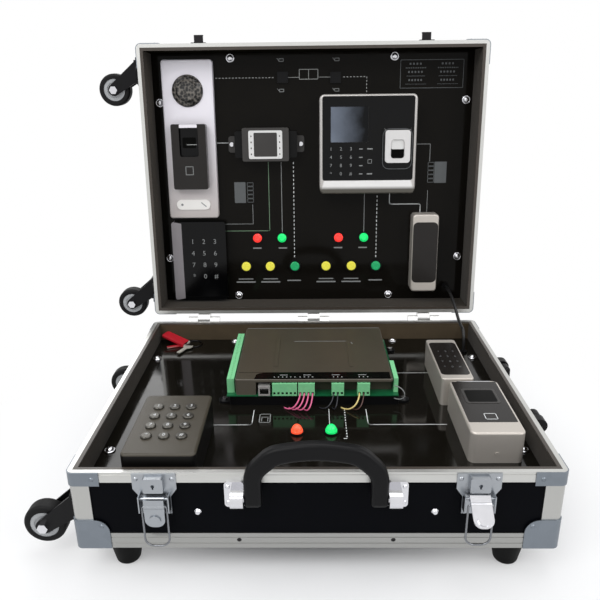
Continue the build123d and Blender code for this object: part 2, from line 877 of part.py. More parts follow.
def make_caster_plates(half, height):
    """Two caster plates with their ball races, kingpins and bolts."""
    left = wall_plane(half, LEFT)
    with BuildPart() as plates:
        for end in (-1, 1):
            middle = end * caster_span / 2
            with BuildSketch(left):
                with Locations((middle, height)):
                    RectangleRounded(caster_plate_width, caster_plate_length, 3.0)
            extrude(amount=caster_plate_thickness)
            with BuildSketch(left.offset(caster_plate_thickness)):
                with Locations((middle, height)):
                    Circle(race_radius)
            extrude(amount=race_height)
            shank = 2 * fork_gap + fork_sheet
            with BuildSketch(left.offset(caster_plate_thickness + race_height)):
                with Locations((middle, height)):
                    Circle(kingpin_radius)
            extrude(amount=shank)
            with BuildSketch(left.offset(caster_plate_thickness + race_height + shank)):
                with Locations((middle, height)):
                    Circle(kingpin_head_radius)
            extrude(amount=kingpin_head_height)
            bolt_x = caster_plate_width / 2 - caster_bolt_inset
            bolt_y = caster_plate_length / 2 - caster_bolt_inset
            with BuildSketch(left.offset(caster_plate_thickness)):
                with Locations((middle, height)):
                    with GridLocations(2 * bolt_x, 2 * bolt_y, 2, 2):
                        RegularPolygon(caster_bolt_radius, 6)
            extrude(amount=caster_plate_thickness)
    return plates


def make_fork(point):
    """A caster fork that hangs straight down from its swivel, with its axle bolt and nuts."""
    plane = Plane(origin=point, x_dir=(0, -1, 0), z_dir=(-1, 0, 0))
    web_bottom = caster_plate_thickness + race_height + fork_gap
    arm_inner = wheel_width / 2 + wheel_side_play
    arm_outer = arm_inner + fork_sheet
    with BuildPart() as fork:
        with BuildSketch(plane.offset(web_bottom)):
            RectangleRounded(2 * arm_outer, fork_length, 3.0)
            Circle(kingpin_radius + pin_play, mode=Mode.SUBTRACT)
        extrude(amount=fork_sheet)
        for side in (-arm_outer, arm_inner):
            flank = Plane(
                origin=at(plane, side, 0).position,
                x_dir=plane.z_dir,
                z_dir=plane.x_dir * -1,
            )
            with BuildSketch(flank):
                with Locations((web_bottom + fork_sheet / 2, 0)):
                    Rectangle(fork_sheet, fork_length - 6.0)
                with Locations((caster_reach, -caster_trail)):
                    Circle(axle_boss_radius)
                make_hull()
            extrude(amount=-fork_sheet)
        axle_plane = Plane(
            origin=at(plane, -arm_outer, -caster_trail, caster_reach).position,
            x_dir=plane.z_dir,
            z_dir=plane.x_dir * -1,
        )
        with BuildSketch(axle_plane):
            Circle(axle_radius)
        extrude(amount=-2 * arm_outer)
        with BuildSketch(axle_plane):
            RegularPolygon(axle_nut_radius, 6)
        extrude(amount=axle_nut_height)
        with BuildSketch(axle_plane.offset(-2 * arm_outer)):
            RegularPolygon(axle_nut_radius, 6)
        extrude(amount=-axle_nut_height)
    return fork


def make_wheel(point):
    """A caster wheel: a rubber tyre on a moulded hub that runs on the axle."""
    plane = Plane(origin=point, x_dir=(0, -1, 0), z_dir=(-1, 0, 0))
    centre = at(plane, 0, -caster_trail, caster_reach).position
    with BuildPart() as wheel:
        with BuildSketch(Plane(origin=centre, x_dir=(1, 0, 0), z_dir=(0, -1, 0))):
            Circle(wheel_radius)
            Circle(hub_radius, mode=Mode.SUBTRACT)
        extrude(amount=wheel_width / 2, both=True)
        treads = wheel.edges().filter_by(GeomType.CIRCLE).filter_by(
            lambda e: abs(e.radius - wheel_radius) < 0.01
        )
        fillet(treads, wheel_width * 0.2)
        with BuildSketch(Plane(origin=centre, x_dir=(1, 0, 0), z_dir=(0, -1, 0))):
            Circle(hub_radius)
            Circle(hub_ring, mode=Mode.SUBTRACT)
        extrude(amount=wheel_width / 2 - hub_recess / 2, both=True)
        with BuildSketch(Plane(origin=centre, x_dir=(1, 0, 0), z_dir=(0, -1, 0))):
            Circle(hub_ring)
            Circle(axle_radius + pin_play, mode=Mode.SUBTRACT)
        extrude(amount=wheel_width / 2 - hub_recess, both=True)
    return wheel


# ---------------------------------------------------------------- lamps and buttons
def add_lamp_bodies(places, bore):
    """Collars on the panel with threaded bodies behind it, added to the part being built."""
    for place in places:
        with Locations(place * Location((0, 0, lamp_collar_height / 2))):
            Cylinder(lamp_collar_radius, lamp_collar_height)
        with Locations(place * Location((0, 0, -lamp_body_length / 2))):
            Cylinder(lamp_body_radius, lamp_body_length)
        with Locations(place * Location((0, 0, lamp_collar_height - bore[1] / 2))):
            Cylinder(bore[0], bore[1], mode=Mode.SUBTRACT)


def add_lenses(places):
    """Domed lamp lenses, added to the part being built."""
    for place in places:
        body = lamp_lens_height - lamp_lens_radius * 0.55
        with Locations(place * Location((0, 0, lamp_collar_height - lens_seat + lens_play + body / 2))):
            Cylinder(lamp_lens_radius, body)
        with Locations(place * Location((0, 0, lamp_collar_height - lens_seat + lens_play + body))):
            Cone(lamp_lens_radius, lamp_lens_radius * 0.55, lamp_lens_radius * 0.45,
                 align=(Align.CENTER, Align.CENTER, Align.MIN))


# ================================================================ the base half
front_wall = wall_plane(base_half, FRONT)
right_wall = wall_plane(base_half, RIGHT)
rear_wall = wall_plane(base_half, BACK)
base_holes = [(x, base_lamp_y, lamp_body_radius + hole_play) for x in (-23.0, 20.5)]
base_lamp_places = [at(base_face, x, y) for x, y, hole in base_holes]
inlet_place = at(rear_wall, -inlet_x, inlet_level)

with BuildPart() as base_shell:
    add(make_board(base_half, base_height).part)
    with Locations(inlet_place):
        Box(inlet_width + inlet_play, inlet_height + inlet_play, 4 * wall, mode=Mode.SUBTRACT)
save(base_shell, "base_shell")

with BuildPart() as base_lining:
    add(make_lining(base_half, base_height).part)
    with Locations(inlet_place):
        Box(inlet_width + inlet_play, inlet_height + inlet_play, 4 * wall, mode=Mode.SUBTRACT)
save(base_lining, "base_lining")

with BuildPart() as base_rails:
    add(make_rails(base_half, base_height).part)
    rivet_face = front_wall.offset(rivet_height / 2)
    with Locations(
        at(rivet_face, -rail_rivet_span / 2, rail_rivet_height),
        at(rivet_face, rail_rivet_span / 2, rail_rivet_height),
    ):
        Cone(rivet_radius, rivet_radius * 0.6, rivet_height)
    with Locations((0, 0, rail_thickness / 2)):
        with GridLocations(foot_span_x, foot_span_y, 2, 2):
            Cylinder(foot_radius + foot_play, rail_thickness, mode=Mode.SUBTRACT)
save(base_rails, "base_rails")

base_corner_guards = make_guards(base_half, base_height, base_caster_height)
save(base_corner_guards, "base_corner_guards")

with BuildPart() as rubber_feet:
    with Locations((0, 0, rail_thickness / 2)):
        with GridLocations(foot_span_x, foot_span_y, 2, 2):
            Cylinder(foot_radius, rail_thickness)
    with Locations((0, 0, -foot_height / 2)):
        with GridLocations(foot_span_x, foot_span_y, 2, 2):
            Cone(foot_sole_radius, foot_radius, foot_height)
    soles = rubber_feet.edges().filter_by(lambda e: e.center().Z < -foot_height + 0.01)
    fillet(soles, foot_round)
save(rubber_feet, "rubber_feet")

with BuildPart() as wall_screws:
    for x in (-wall_screw_span / 2, wall_screw_span / 2):
        with Locations(at(front_wall, x, wall_screw_height, -rail_thickness + rivet_height)):
            Cone(wall_screw_radius, wall_screw_radius * 0.6, 2 * rivet_height)

with BuildPart() as base_panel:
    add(make_panel(base_half, base_panel_level, base_front_screw_span, base_holes).part)
    with Locations(at(base_face, base_collar_x, base_collar_y, cable_collar_height / 2)):
        Cylinder(cable_collar_radius, cable_collar_height)
save(base_panel, "base_panel")

with BuildPart() as base_standoffs:
    add(make_standoffs(base_half, base_panel_level, base_front_screw_span).part)
save(base_standoffs, "base_standoffs")

latch_plates = make_latch_plates(front_wall)
save(latch_plates, "latch_plates")
latch_lever_left = make_lever(front_wall, -latch_span / 2, 0)
save(latch_lever_left, "latch_lever_left")
latch_lever_right = make_lever(front_wall, latch_span / 2, right_lever_open)
save(latch_lever_right, "latch_lever_right")
latch_bail_left = make_bail(front_wall, -latch_span / 2, 0)
save(latch_bail_left, "latch_bail_left")
latch_bail_right = make_bail(front_wall, latch_span / 2, right_lever_open)
save(latch_bail_right, "latch_bail_right")

front_handle = make_handle(front_wall, front_pivot_height, 1)
save(front_handle, "front_handle")
with BuildPart() as front_handle_brackets:
    add(make_brackets(front_wall, front_pivot_height).part)
    add(wall_screws.part)
save(front_handle_brackets, "front_handle_brackets")
side_handle = make_handle(right_wall, side_pivot_height, -1)
save(side_handle, "side_handle")
side_handle_brackets = make_brackets(right_wall, side_pivot_height)
save(side_handle_brackets, "side_handle_brackets")

outer_low = hinge_lid_knuckle / 2 + knuckle_gap
base_knuckles = ((-hinge_width / 2, -outer_low), (outer_low, hinge_width / 2))
base_hinge_leaves = make_leaves(base_half, BACK, base_height, base_knuckles, hinge_pin_radius, 0)
save(base_hinge_leaves, "base_hinge_leaves")

base_caster_plates = make_caster_plates(base_half, base_caster_height)
save(base_caster_plates, "base_caster_plates")
for name, end in (("front", 1), ("rear", -1)):
    corner = caster_point(base_half, base_caster_height, end)
    save(make_fork(corner), f"base_{name}_fork")
    save(make_wheel(corner), f"base_{name}_wheel")

# ---------------------------------------------------------------- controller
tray_middle = controller_front + tray_depth / 2
board_width = cover_width + board_left + board_right
board_x = controller_x + (board_right - board_left) / 2
board_level = base_panel_level + tray_height
parts_level = board_level + board_sheet
cover_middle = controller_front + cover_depth / 2

with BuildPart() as controller_tray:
    with BuildSketch(base_face):
        with Locations((controller_x, tray_middle)):
            RectangleRounded(tray_width, tray_depth, cover_radius)
    extrude(amount=tray_height)
    with BuildSketch(base_face.offset(tray_wall)):
        with Locations((controller_x, tray_middle)):
            Rectangle(tray_width - 2 * tray_wall, tray_depth - 2 * tray_wall)
    extrude(amount=tray_height, mode=Mode.SUBTRACT)
    ear_x = tray_width / 2 + tray_ear_radius
    ear_y = tray_depth / 2 - tray_ear_radius - cover_radius
    for side in (-1, 1):
        for end in (-1, 1):
            with BuildSketch(base_face):
                with Locations((controller_x + side * ear_x, tray_middle + end * ear_y)):
                    Circle(tray_ear_radius)
                    with Locations((-side * tray_ear_radius / 2, 0)):
                        Rectangle(tray_ear_radius, 2 * tray_ear_radius)
            extrude(amount=tray_ear_thickness)
            with BuildSketch(base_face.offset(tray_ear_thickness)):
                with Locations((controller_x + side * ear_x, tray_middle + end * ear_y)):
                    Circle(screw_boss_radius * 1.4)
            extrude(amount=screw_boss_radius)
save(controller_tray, "controller_tray")

with BuildPart() as controller_board:
    board_front = controller_front - terminal_overhang / 2
    board_rear = controller_front + tray_depth - tray_wall
    with BuildSketch(Plane.XY.offset(board_level)):
        with Locations((board_x, (board_front + board_rear) / 2)):
            Rectangle(board_width, board_rear - board_front)
    extrude(amount=board_sheet)
    block_front = controller_front - terminal_overhang
    with BuildSketch(Plane.XY.offset(parts_level)):
        for ways, left in zip(terminal_ways, terminal_lefts):
            with Locations((left + ways * terminal_pitch / 2, block_front + terminal_depth / 2)):
                Rectangle(ways * terminal_pitch, terminal_depth)
    extrude(amount=terminal_height)
    ways_x = [
        left + (way + 0.5) * terminal_pitch
        for ways, left in zip(terminal_ways, terminal_lefts)
        for way in range(ways)
    ]
    mouth_level = parts_level + terminal_mouth + 1.0
    with BuildSketch(Plane(origin=(0, block_front, 0), x_dir=(1, 0, 0), z_dir=(0, -1, 0))):
        with Locations(*[(x, mouth_level) for x in ways_x]):
            Rectangle(terminal_mouth, terminal_mouth)
    extrude(amount=-terminal_depth / 2, mode=Mode.SUBTRACT)
    with BuildSketch(Plane.XY.offset(parts_level + terminal_height)):
        with Locations(*[(x, block_front + terminal_depth / 3) for x in ways_x]):
            Circle(terminal_mouth / 2 + 0.4)
    extrude(amount=-1.5, mode=Mode.SUBTRACT)
    with BuildSketch(Plane.XY.offset(parts_level)):
        with Locations((jack_x, block_front + jack_depth / 2)):
            Rectangle(jack_width, jack_depth)
    extrude(amount=jack_height)
    with BuildSketch(Plane(origin=(0, block_front, 0), x_dir=(1, 0, 0), z_dir=(0, -1, 0))):
        with Locations((jack_x, parts_level + jack_height / 2)):
            Rectangle(jack_mouth_width, jack_mouth_height)
    extrude(amount=-jack_mouth_depth, mode=Mode.SUBTRACT)
    left_x = board_x - board_width / 2 + side_terminal_width / 2
    right_x = board_x + board_width / 2 - side_terminal_width * 0.3
    left_length = left_terminal_ways * terminal_pitch
    right_length = right_terminal_ways * terminal_pitch
    strip_start = controller_front + 7.0
    with BuildSketch(Plane.XY.offset(parts_level)):
        with Locations((left_x, strip_start + left_length / 2)):
            Rectangle(side_terminal_width, left_length)
        with Locations((right_x, strip_start + right_length / 2)):
            Rectangle(side_terminal_width * 0.6, right_length)
    extrude(amount=side_terminal_height)
    left_ways = [
        (left_x, strip_start + (way + 0.5) * terminal_pitch) for way in range(left_terminal_ways)
    ]
    with BuildSketch(Plane.XY.offset(parts_level + side_terminal_height)):
        with Locations(*left_ways):
            Circle(terminal_mouth / 2)
    extrude(amount=-1.5, mode=Mode.SUBTRACT)
save(controller_board, "controller_board")

with BuildPart() as controller_cover:
    with BuildSketch(Plane.XY.offset(parts_level)):
        with Locations((controller_x, cover_middle)):
            RectangleRounded(cover_width, cover_depth, cover_radius)
    extrude(amount=cover_height)
    rims = controller_cover.edges().filter_by(
        lambda e: abs(e.center().Z - parts_level - cover_height) < 0.01
    )
    fillet(rims, 1.5)
    inner_front = controller_front + cover_notch_depth + cover_wall
    inner_rear = controller_front + cover_depth - cover_wall
    with BuildSketch(Plane.XY.offset(parts_level)):
        with Locations((controller_x, (inner_front + inner_rear) / 2)):
            Rectangle(cover_width - 2 * cover_wall, inner_rear - inner_front)
    extrude(amount=cover_height - cover_wall, mode=Mode.SUBTRACT)
    notch_low = controller_x - cover_width / 2 + cover_notch_left
    notch_high = controller_x + cover_width / 2 + 1.0
    with BuildSketch(Plane.XY.offset(parts_level)):
        with Locations(((notch_low + notch_high) / 2, controller_front + cover_notch_depth / 2 - 0.5)):
            Rectangle(notch_high - notch_low, cover_notch_depth + 1.0)
    extrude(amount=cover_height - cover_lip, mode=Mode.SUBTRACT)
    with BuildSketch(Plane.XY.offset(parts_level + cover_height)):
        with Locations((controller_x - cover_width / 4, cover_middle)):
            RectangleRounded(rib_width, rib_length, rib_width / 2 - 0.1)
        with Locations((controller_x + cover_width / 4, cover_middle)):
            RectangleRounded(rib_width, rib_length, rib_width / 2 - 0.1)
    extrude(amount=rib_height)
save(controller_cover, "controller_cover")

wire_radius = 0.9
wire_bend = 4.0
wire_forward = 9.0
# Each wire: the way it leaves, how far it strays to the side and how far forward it lands.
wire_ways = (
    (6, -16.0, 10.0),
    (7, -13.0, 12.0),
    (8, -10.0, 14.0),
    (9, -7.0, 16.0),
    (10, 4.0, 11.0),
    (13, -3.0, 12.0),
    (15, 3.0, 13.0),
)
with BuildPart() as controller_wires:
    for way, stray, landing in wire_ways:
        start = Vector(ways_x[way], block_front, mouth_level)
        turn = start + Vector(0, -wire_forward, 0)
        low = Vector(start.X + stray, start.Y - wire_forward - landing, base_panel_level + 8.0)
        foot = Vector(low.X, low.Y, base_panel_level)
        with BuildLine() as wire_line:
            FilletPolyline(start, turn, low, foot, radius=wire_bend)
        with BuildSketch(Plane(origin=start, x_dir=(1, 0, 0), z_dir=(0, -1, 0))):
            Circle(wire_radius)
        sweep(path=wire_line.wire())
save(controller_wires, "controller_wires")

# ---------------------------------------------------------------- keypad and readers
keypad_top = base_face.offset(keypad_height)
key_rows_y = keypad_y + key_rows_shift
with BuildPart() as keypad_housing:
    with BuildSketch(base_face):
        with Locations((keypad_x, keypad_y)):
            RectangleRounded(keypad_width, keypad_length, keypad_radius)
    extrude(amount=keypad_height)
    rims = keypad_housing.edges().filter_by(
        lambda e: abs(e.center().Z - base_panel_level - keypad_height) < 0.01
    )
    fillet(rims, 3.0)
    with BuildSketch(base_face):
        with Locations((keypad_x, keypad_y)):
            Rectangle(keypad_width - 2 * reader_wall, keypad_length - 2 * reader_wall)
    extrude(amount=keypad_height - reader_wall, mode=Mode.SUBTRACT)
    with BuildSketch(keypad_top):
        with Locations((keypad_x, key_rows_y)):
            with GridLocations(key_pitch_x, key_pitch_y, 3, 4):
                Circle(key_radius + key_play)
    extrude(amount=-2 * reader_wall, mode=Mode.SUBTRACT)
    with BuildSketch(Plane(origin=(keypad_x, keypad_y - keypad_length / 2, 0), x_dir=(1, 0, 0),
                           z_dir=(0, -1, 0))):
        with Locations((0, base_panel_level + 8.0)):
            Circle(screw_boss_radius)
    extrude(amount=0.8)
save(keypad_housing, "keypad_housing")

with BuildPart() as keypad_keys:
    mat_top = keypad_top.offset(-reader_wall - key_mat_gap)
    with BuildSketch(mat_top):
        with Locations((keypad_x, key_rows_y)):
            Rectangle(
                2 * key_pitch_x + 2 * key_radius + key_mat_margin,
                3 * key_pitch_y + 2 * key_radius + key_mat_margin,
            )
    extrude(amount=-key_mat)
    with BuildSketch(mat_top):
        with Locations((keypad_x, key_rows_y)):
            with GridLocations(key_pitch_x, key_pitch_y, 3, 4):
                Circle(key_radius)
    extrude(amount=reader_wall + key_mat_gap + key_proud)
    crowns = keypad_keys.edges().filter_by(GeomType.CIRCLE).filter_by(
        lambda e: abs(e.center().Z - base_panel_level - keypad_height - key_proud) < 0.01
    )
    fillet(crowns, key_proud * 0.6)
save(keypad_keys, "keypad_keys")

with BuildPart() as pin_reader:
    with BuildSketch(base_face):
        with Locations((pin_x, pin_y)):
            RectangleRounded(pin_width, pin_length, reader_radius * 0.6)
    extrude(amount=pin_height)
    rims = pin_reader.edges().filter_by(lambda e: abs(e.center().Z - base_panel_level - pin_height) < 0.01)
    fillet(rims, 1.5)
    with BuildSketch(base_face.offset(pin_height)):
        with Locations((pin_x, pin_y)):
            RectangleRounded(pin_width - 2 * pin_pane_inset, pin_length - 2 * pin_pane_end, 2.0)
    extrude(amount=-pane_depth, mode=Mode.SUBTRACT)
save(pin_reader, "pin_reader")

with BuildPart() as fingerprint_reader:
    with BuildSketch(base_face):
        with Locations((finger_x, finger_y)):
            RectangleRounded(finger_width, finger_length, reader_radius)
    extrude(amount=finger_height)
    rims = fingerprint_reader.edges().filter_by(
        lambda e: abs(e.center().Z - base_panel_level - finger_height) < 0.01
    )
    fillet(rims, 2.5)
    pane_y = finger_y + (finger_length - finger_pane_length) / 2 - 5.0
    with BuildSketch(base_face.offset(finger_height)):
        with Locations((finger_x, pane_y)):
            RectangleRounded(finger_pane_width, finger_pane_length, 4.0)
    extrude(amount=-pane_depth, mode=Mode.SUBTRACT)
    with BuildSketch(base_face.offset(finger_height)):
        with Locations((finger_x, pane_y + finger_pane_length * 0.12)):
            RectangleRounded(finger_recess_width, finger_recess_length, finger_recess_width * 0.4)
    extrude(amount=-finger_recess_depth, taper=20, mode=Mode.SUBTRACT)
    with BuildSketch(Plane(origin=(finger_x, finger_y - finger_length / 2, 0), x_dir=(1, 0, 0),
                           z_dir=(0, -1, 0))):
        with Locations((0, base_panel_level + finger_screw_height)):
            Circle(screw_boss_radius)
    extrude(amount=0.8)
save(fingerprint_reader, "fingerprint_reader")

# ---------------------------------------------------------------- lamps, keys and power supply
lamp_bore = (lamp_lens_radius + lens_play / 2, lens_seat)
with BuildPart() as base_lamps:
    add_lamp_bodies(base_lamp_places, lamp_bore)
    add_lenses(base_lamp_places)
save(base_lamps, "base_lamps")

ring_from_left, ring_from_rear, ring_radius, ring_wire = 70.0, 30.0, 13.0, 0.9
ring_x = ring_from_left - half_width
ring_y = half_depth - ring_from_rear
key_sheet, key_bow, key_blade, key_blade_width = 1.6, 8.0, 24.0, 6.0
tag_length, tag_width, tag_sheet, tag_overlap = 46.0, 20.0, 3.0, 3.0
with BuildPart() as case_keys:
    with Locations((ring_x, ring_y, base_panel_level + ring_wire)):
        Torus(ring_radius, ring_wire)
    for turn in (200.0, 245.0):
        key_plane = Plane((ring_x, ring_y, base_panel_level)).rotated((0, 0, turn))
        key_level = ring_wire if turn < 220 else ring_wire + key_sheet
        with BuildSketch(key_plane.offset(key_level)):
            with Locations((ring_radius + key_bow / 2, 0)):
                Circle(key_bow)
            with Locations((ring_radius + key_bow + key_blade / 2, 0)):
                Rectangle(key_blade, key_blade_width)
        extrude(amount=key_sheet)
    tag_root = Vector(ring_x - ring_radius, ring_y - 4.0, base_panel_level + 2 * ring_wire)
    tag_along = Vector(-0.89, 0.38, 0.26)
    tag_across = Vector(-0.36, -0.84, 0)
    tag_plane = Plane(origin=tag_root, x_dir=tag_along, z_dir=tag_along.cross(tag_across))
    with BuildSketch(tag_plane):
        with Locations((tag_length / 2 - tag_overlap, 0)):
            RectangleRounded(tag_length, tag_width, 4.0)
    extrude(amount=tag_sheet)
save(case_keys, "case_keys")

with BuildPart() as power_supply:
    with BuildSketch(Plane.XY.offset(floor_level)):
        with Locations((supply_x, inner_y - seam - supply_depth / 2)):
            RectangleRounded(supply_width, supply_depth, 3.0)
    extrude(amount=supply_height)
    inlet_face = rear_wall.offset(-rail_thickness)
    with BuildSketch(inlet_face):
        with Locations((-inlet_x, inlet_level)):
            RectangleRounded(inlet_width, inlet_height, 2.0)
    extrude(amount=-wall)
    with BuildSketch(inlet_face):
        with Locations((-inlet_x, inlet_level)):
            RectangleRounded(inlet_flange_width, inlet_flange_height, 3.0)
    extrude(amount=inlet_flange)
    with BuildSketch(inlet_face.offset(inlet_flange)):
        with Locations((-inlet_x, inlet_level)):
            RectangleRounded(inlet_mouth_width, inlet_mouth_height, 2.0)
    extrude(amount=-inlet_mouth_depth, mode=Mode.SUBTRACT)
save(power_supply, "power_supply")

# ================================================================ the lid half
lid_holes = [(x, lid_lamp_y, lamp_body_radius + hole_play) for x in lid_lamps_x]
lid_holes += [(x, button_y, button_body_radius + hole_play) for x in buttons_x.values()]
lid_lamp_places = [at(lid_face, x, lid_lamp_y) for x in lid_lamps_x]

lid_shell = make_board(lid_half, lid_depth)
save(lid_shell, "lid_shell")
lid_lining = make_lining(lid_half, lid_depth)
save(lid_lining, "lid_lining")
lid_rails = make_rails(lid_half, lid_depth)
save(lid_rails, "lid_rails")
lid_corner_guards = make_guards(lid_half, lid_depth, lid_caster_height)
save(lid_corner_guards, "lid_corner_guards")

with BuildPart() as lid_panel:
    add(make_panel(lid_half, lid_panel_level, end_screw_span, lid_holes).part)
    with Locations(at(lid_face, lid_collar_x, lid_collar_y, cable_collar_height / 2)):
        Cylinder(cable_collar_radius, cable_collar_height)
save(lid_panel, "lid_panel")
lid_standoffs = make_standoffs(lid_half, lid_panel_level, end_screw_span)
save(lid_standoffs, "lid_standoffs")

lid_knuckles = ((-hinge_lid_knuckle / 2, hinge_lid_knuckle / 2),)
lid_hinge_leaves = make_leaves(
    lid_half, FRONT, lid_depth, lid_knuckles, 0, hinge_pin_radius + pin_play
)
save(lid_hinge_leaves, "lid_hinge_leaves")

with BuildPart() as latch_catches:
    catch_wall = wall_plane(lid_half, BACK)
    wire_depth = lever_pivot_depth + lever_inner
    wire_top = lever_pivot_height - bail_drop + bail_length - 2 * bail_wire
    hook_level = base_height + rim_gap + lid_depth - wire_top + catch_clearance
    hook_reach = wire_depth + bail_wire + catch_clearance
    for middle in (-latch_span / 2, latch_span / 2):
        with BuildSketch(catch_wall):
            with Locations((middle, (catch_plate_bottom + catch_plate_top) / 2)):
                RectangleRounded(catch_width, catch_plate_top - catch_plate_bottom, 2.0)
        extrude(amount=catch_sheet)
        with BuildSketch(side_profile(catch_wall, catch_hook_width / 2 - middle)):
            Polygon(
                (catch_sheet / 2, hook_level),
                (hook_reach, hook_level),
                (hook_reach, hook_level - catch_lip),
                (hook_reach + catch_sheet, hook_level - catch_lip),
                (hook_reach + catch_sheet, hook_level + catch_sheet),
                (catch_sheet / 2, hook_level + catch_sheet),
                align=None,
            )
        extrude(amount=-catch_hook_width)
save(latch_catches, "latch_catches")

lid_caster_plates = make_caster_plates(lid_half, lid_caster_height)
save(lid_caster_plates, "lid_caster_plates")
for name, end in (("upper", -1), ("lower", 1)):
    corner = caster_point(lid_half, lid_caster_height, end)
    save(make_fork(corner), f"lid_{name}_fork")
    save(make_wheel(corner), f"lid_{name}_wheel")

# ---------------------------------------------------------------- lid devices
with BuildPart() as door_station_plate:
    with BuildSketch(lid_face):
        with Locations((station_x, station_y)):
            RectangleRounded(station_width, station_length, 5.0)
    extrude(amount=station_height)
    rims = door_station_plate.edges().filter_by(
        lambda e: abs(lid_face.to_local_coords(e.center()).Z - station_height) < 0.01
    )
    fillet(rims, 2.0)
    with Locations(at(lid_face, station_x, station_y + dome_y, station_height + dome_height / 2)):
        Cone(dome_radius, dome_radius * 0.6, dome_height)
    with Locations(at(lid_face, station_x, station_y + emblem_y, station_height + emblem_height / 2)):
        Box(emblem_width, emblem_length, emblem_height)
save(door_station_plate, "door_station_plate")

with BuildPart() as door_station_reader:
    reader_face = lid_face.offset(station_height)
    reader_middle = (station_x, station_y + station_reader_y)
    with BuildSketch(reader_face):
        with Locations(reader_middle):
            RectangleRounded(station_reader_width, station_reader_length, 3.0)
    extrude(amount=station_reader_height)
    with BuildSketch(reader_face.offset(station_reader_height)):
        with Locations(reader_middle):
            with Locations((0, station_reader_length * 0.23)):
                RectangleRounded(sensor_recess_width * 1.4, station_reader_length * 0.45, 4.0)
    extrude(amount=-sensor_recess_depth, taper=15, mode=Mode.SUBTRACT)
save(door_station_reader, "door_station_reader")

with BuildPart() as touch_keypad:
    with BuildSketch(lid_face):
        with Locations((touch_x, touch_y)):
            RectangleRounded(touch_width, touch_length, 4.0)
    extrude(amount=touch_height)
    with BuildSketch(lid_face.offset(touch_height)):
        with Locations((touch_x + touch_strip / 2, touch_y)):
            Rectangle(touch_width - touch_strip - 4.0, touch_length - 5.0)
    extrude(amount=-pane_depth, mode=Mode.SUBTRACT)
save(touch_keypad, "touch_keypad")

with BuildPart() as door_module:
    with BuildSketch(lid_face):
        with Locations((module_x, module_y)):
            RectangleRounded(module_ear_width, module_length * 0.5, 4.0)
    extrude(amount=module_ear_height)
    with BuildSketch(lid_face):
        with Locations((module_x, module_y)):
            RectangleRounded(module_step_width, module_length * 0.8, 3.0)
    extrude(amount=module_step_height)
    with BuildSketch(lid_face):
        with Locations((module_x, module_y)):
            RectangleRounded(module_width, module_length, 3.0)
    extrude(amount=module_height)
    with BuildSketch(lid_face.offset(module_height)):
        with Locations((module_x, module_y)):
            RectangleRounded(module_frame_width, module_frame_length, 3.0)
    extrude(amount=module_frame_height)
    with BuildSketch(lid_face.offset(module_height + module_frame_height)):
        with Locations((module_x, module_y)):
            RectangleRounded(module_tile, module_tile, 2.0)
    extrude(amount=-pane_depth, mode=Mode.SUBTRACT)
    with BuildSketch(lid_face.offset(module_ear_height)):
        with Locations((module_x, module_y)):
            with GridLocations(module_ear_width - 2 * module_ear_screw_inset, 1.0, 2, 1):
                Circle(screw_boss_radius * 1.4)
    extrude(amount=screw_boss_radius)
save(door_module, "door_module")

with BuildPart() as fingerprint_terminal:
    terminal_top = lid_face.offset(terminal_depth_total)
    with BuildSketch(lid_face):
        with Locations((terminal_x, terminal_y)):
            RectangleRounded(terminal_width, terminal_length, 8.0)
    extrude(amount=terminal_depth_total)
    rims = fingerprint_terminal.edges().filter_by(
        lambda e: abs(lid_face.to_local_coords(e.center()).Z - terminal_depth_total) < 0.01
    )
    fillet(rims, 3.0)
    with BuildSketch(terminal_top):
        with Locations((terminal_x, terminal_y + terminal_band / 2)):
            RectangleRounded(
                terminal_width - 3 * terminal_rim, terminal_length - terminal_band - 2 * terminal_rim, 4.0
            )
    extrude(amount=-pane_depth, mode=Mode.SUBTRACT)
    with BuildSketch(terminal_top.offset(-pane_depth)):
        with Locations((terminal_x + screen_x, terminal_y + screen_y)):
            Rectangle(screen_width, screen_length)
    extrude(amount=-pane_depth, mode=Mode.SUBTRACT)
    sensor_middle = (terminal_x + sensor_x, terminal_y + sensor_y)
    with BuildSketch(terminal_top.offset(-pane_depth)):
        with Locations(sensor_middle):
            RectangleRounded(sensor_surround_width, sensor_surround_length, 6.0)
    extrude(amount=sensor_surround_height)
    with BuildSketch(terminal_top.offset(-pane_depth)):
        with Locations(sensor_middle):
            with Locations((0, 4.0)):
                RectangleRounded(sensor_width, sensor_length, 5.0)
    extrude(amount=sensor_height)
    with BuildSketch(terminal_top.offset(sensor_height - pane_depth)):
        with Locations(sensor_middle):
            RectangleRounded(sensor_recess_width, sensor_recess_length, 5.0)
    extrude(amount=-sensor_recess_depth, taper=12, mode=Mode.SUBTRACT)
save(fingerprint_terminal, "fingerprint_terminal")

with BuildPart() as card_reader:
    with BuildSketch(lid_face):
        with Locations((card_x, card_y)):
            RectangleRounded(card_width, card_length, 6.0)
    extrude(amount=card_height)
    rims = card_reader.edges().filter_by(
        lambda e: abs(lid_face.to_local_coords(e.center()).Z - card_height) < 0.01
    )
    fillet(rims, 3.0)
save(card_reader, "card_reader")

button_places = [at(lid_face, x, button_y) for x in buttons_x.values()]
with BuildPart() as lid_indicators:
    add_lamp_bodies(lid_lamp_places, lamp_bore)
    add_lenses(lid_lamp_places)
    pocket = button_sunk + button_travel + 1.0
    body = pocket + 2.0
    for place in button_places:
        with Locations(place * Location((0, 0, lamp_collar_height / 2))):
            Cylinder(button_collar_radius, lamp_collar_height)
        with Locations(place * Location((0, 0, -body / 2))):
            Cylinder(button_body_radius, body)
        with Locations(place * Location((0, 0, (lamp_collar_height - pocket) / 2))):
            Cylinder(button_radius + button_play, lamp_collar_height + pocket, mode=Mode.SUBTRACT)
    for x, y in square_places:
        with Locations(at(lid_face, x, y, square_height / 2)):
            Box(square_size, square_size, square_height)
save(lid_indicators, "lid_indicators")

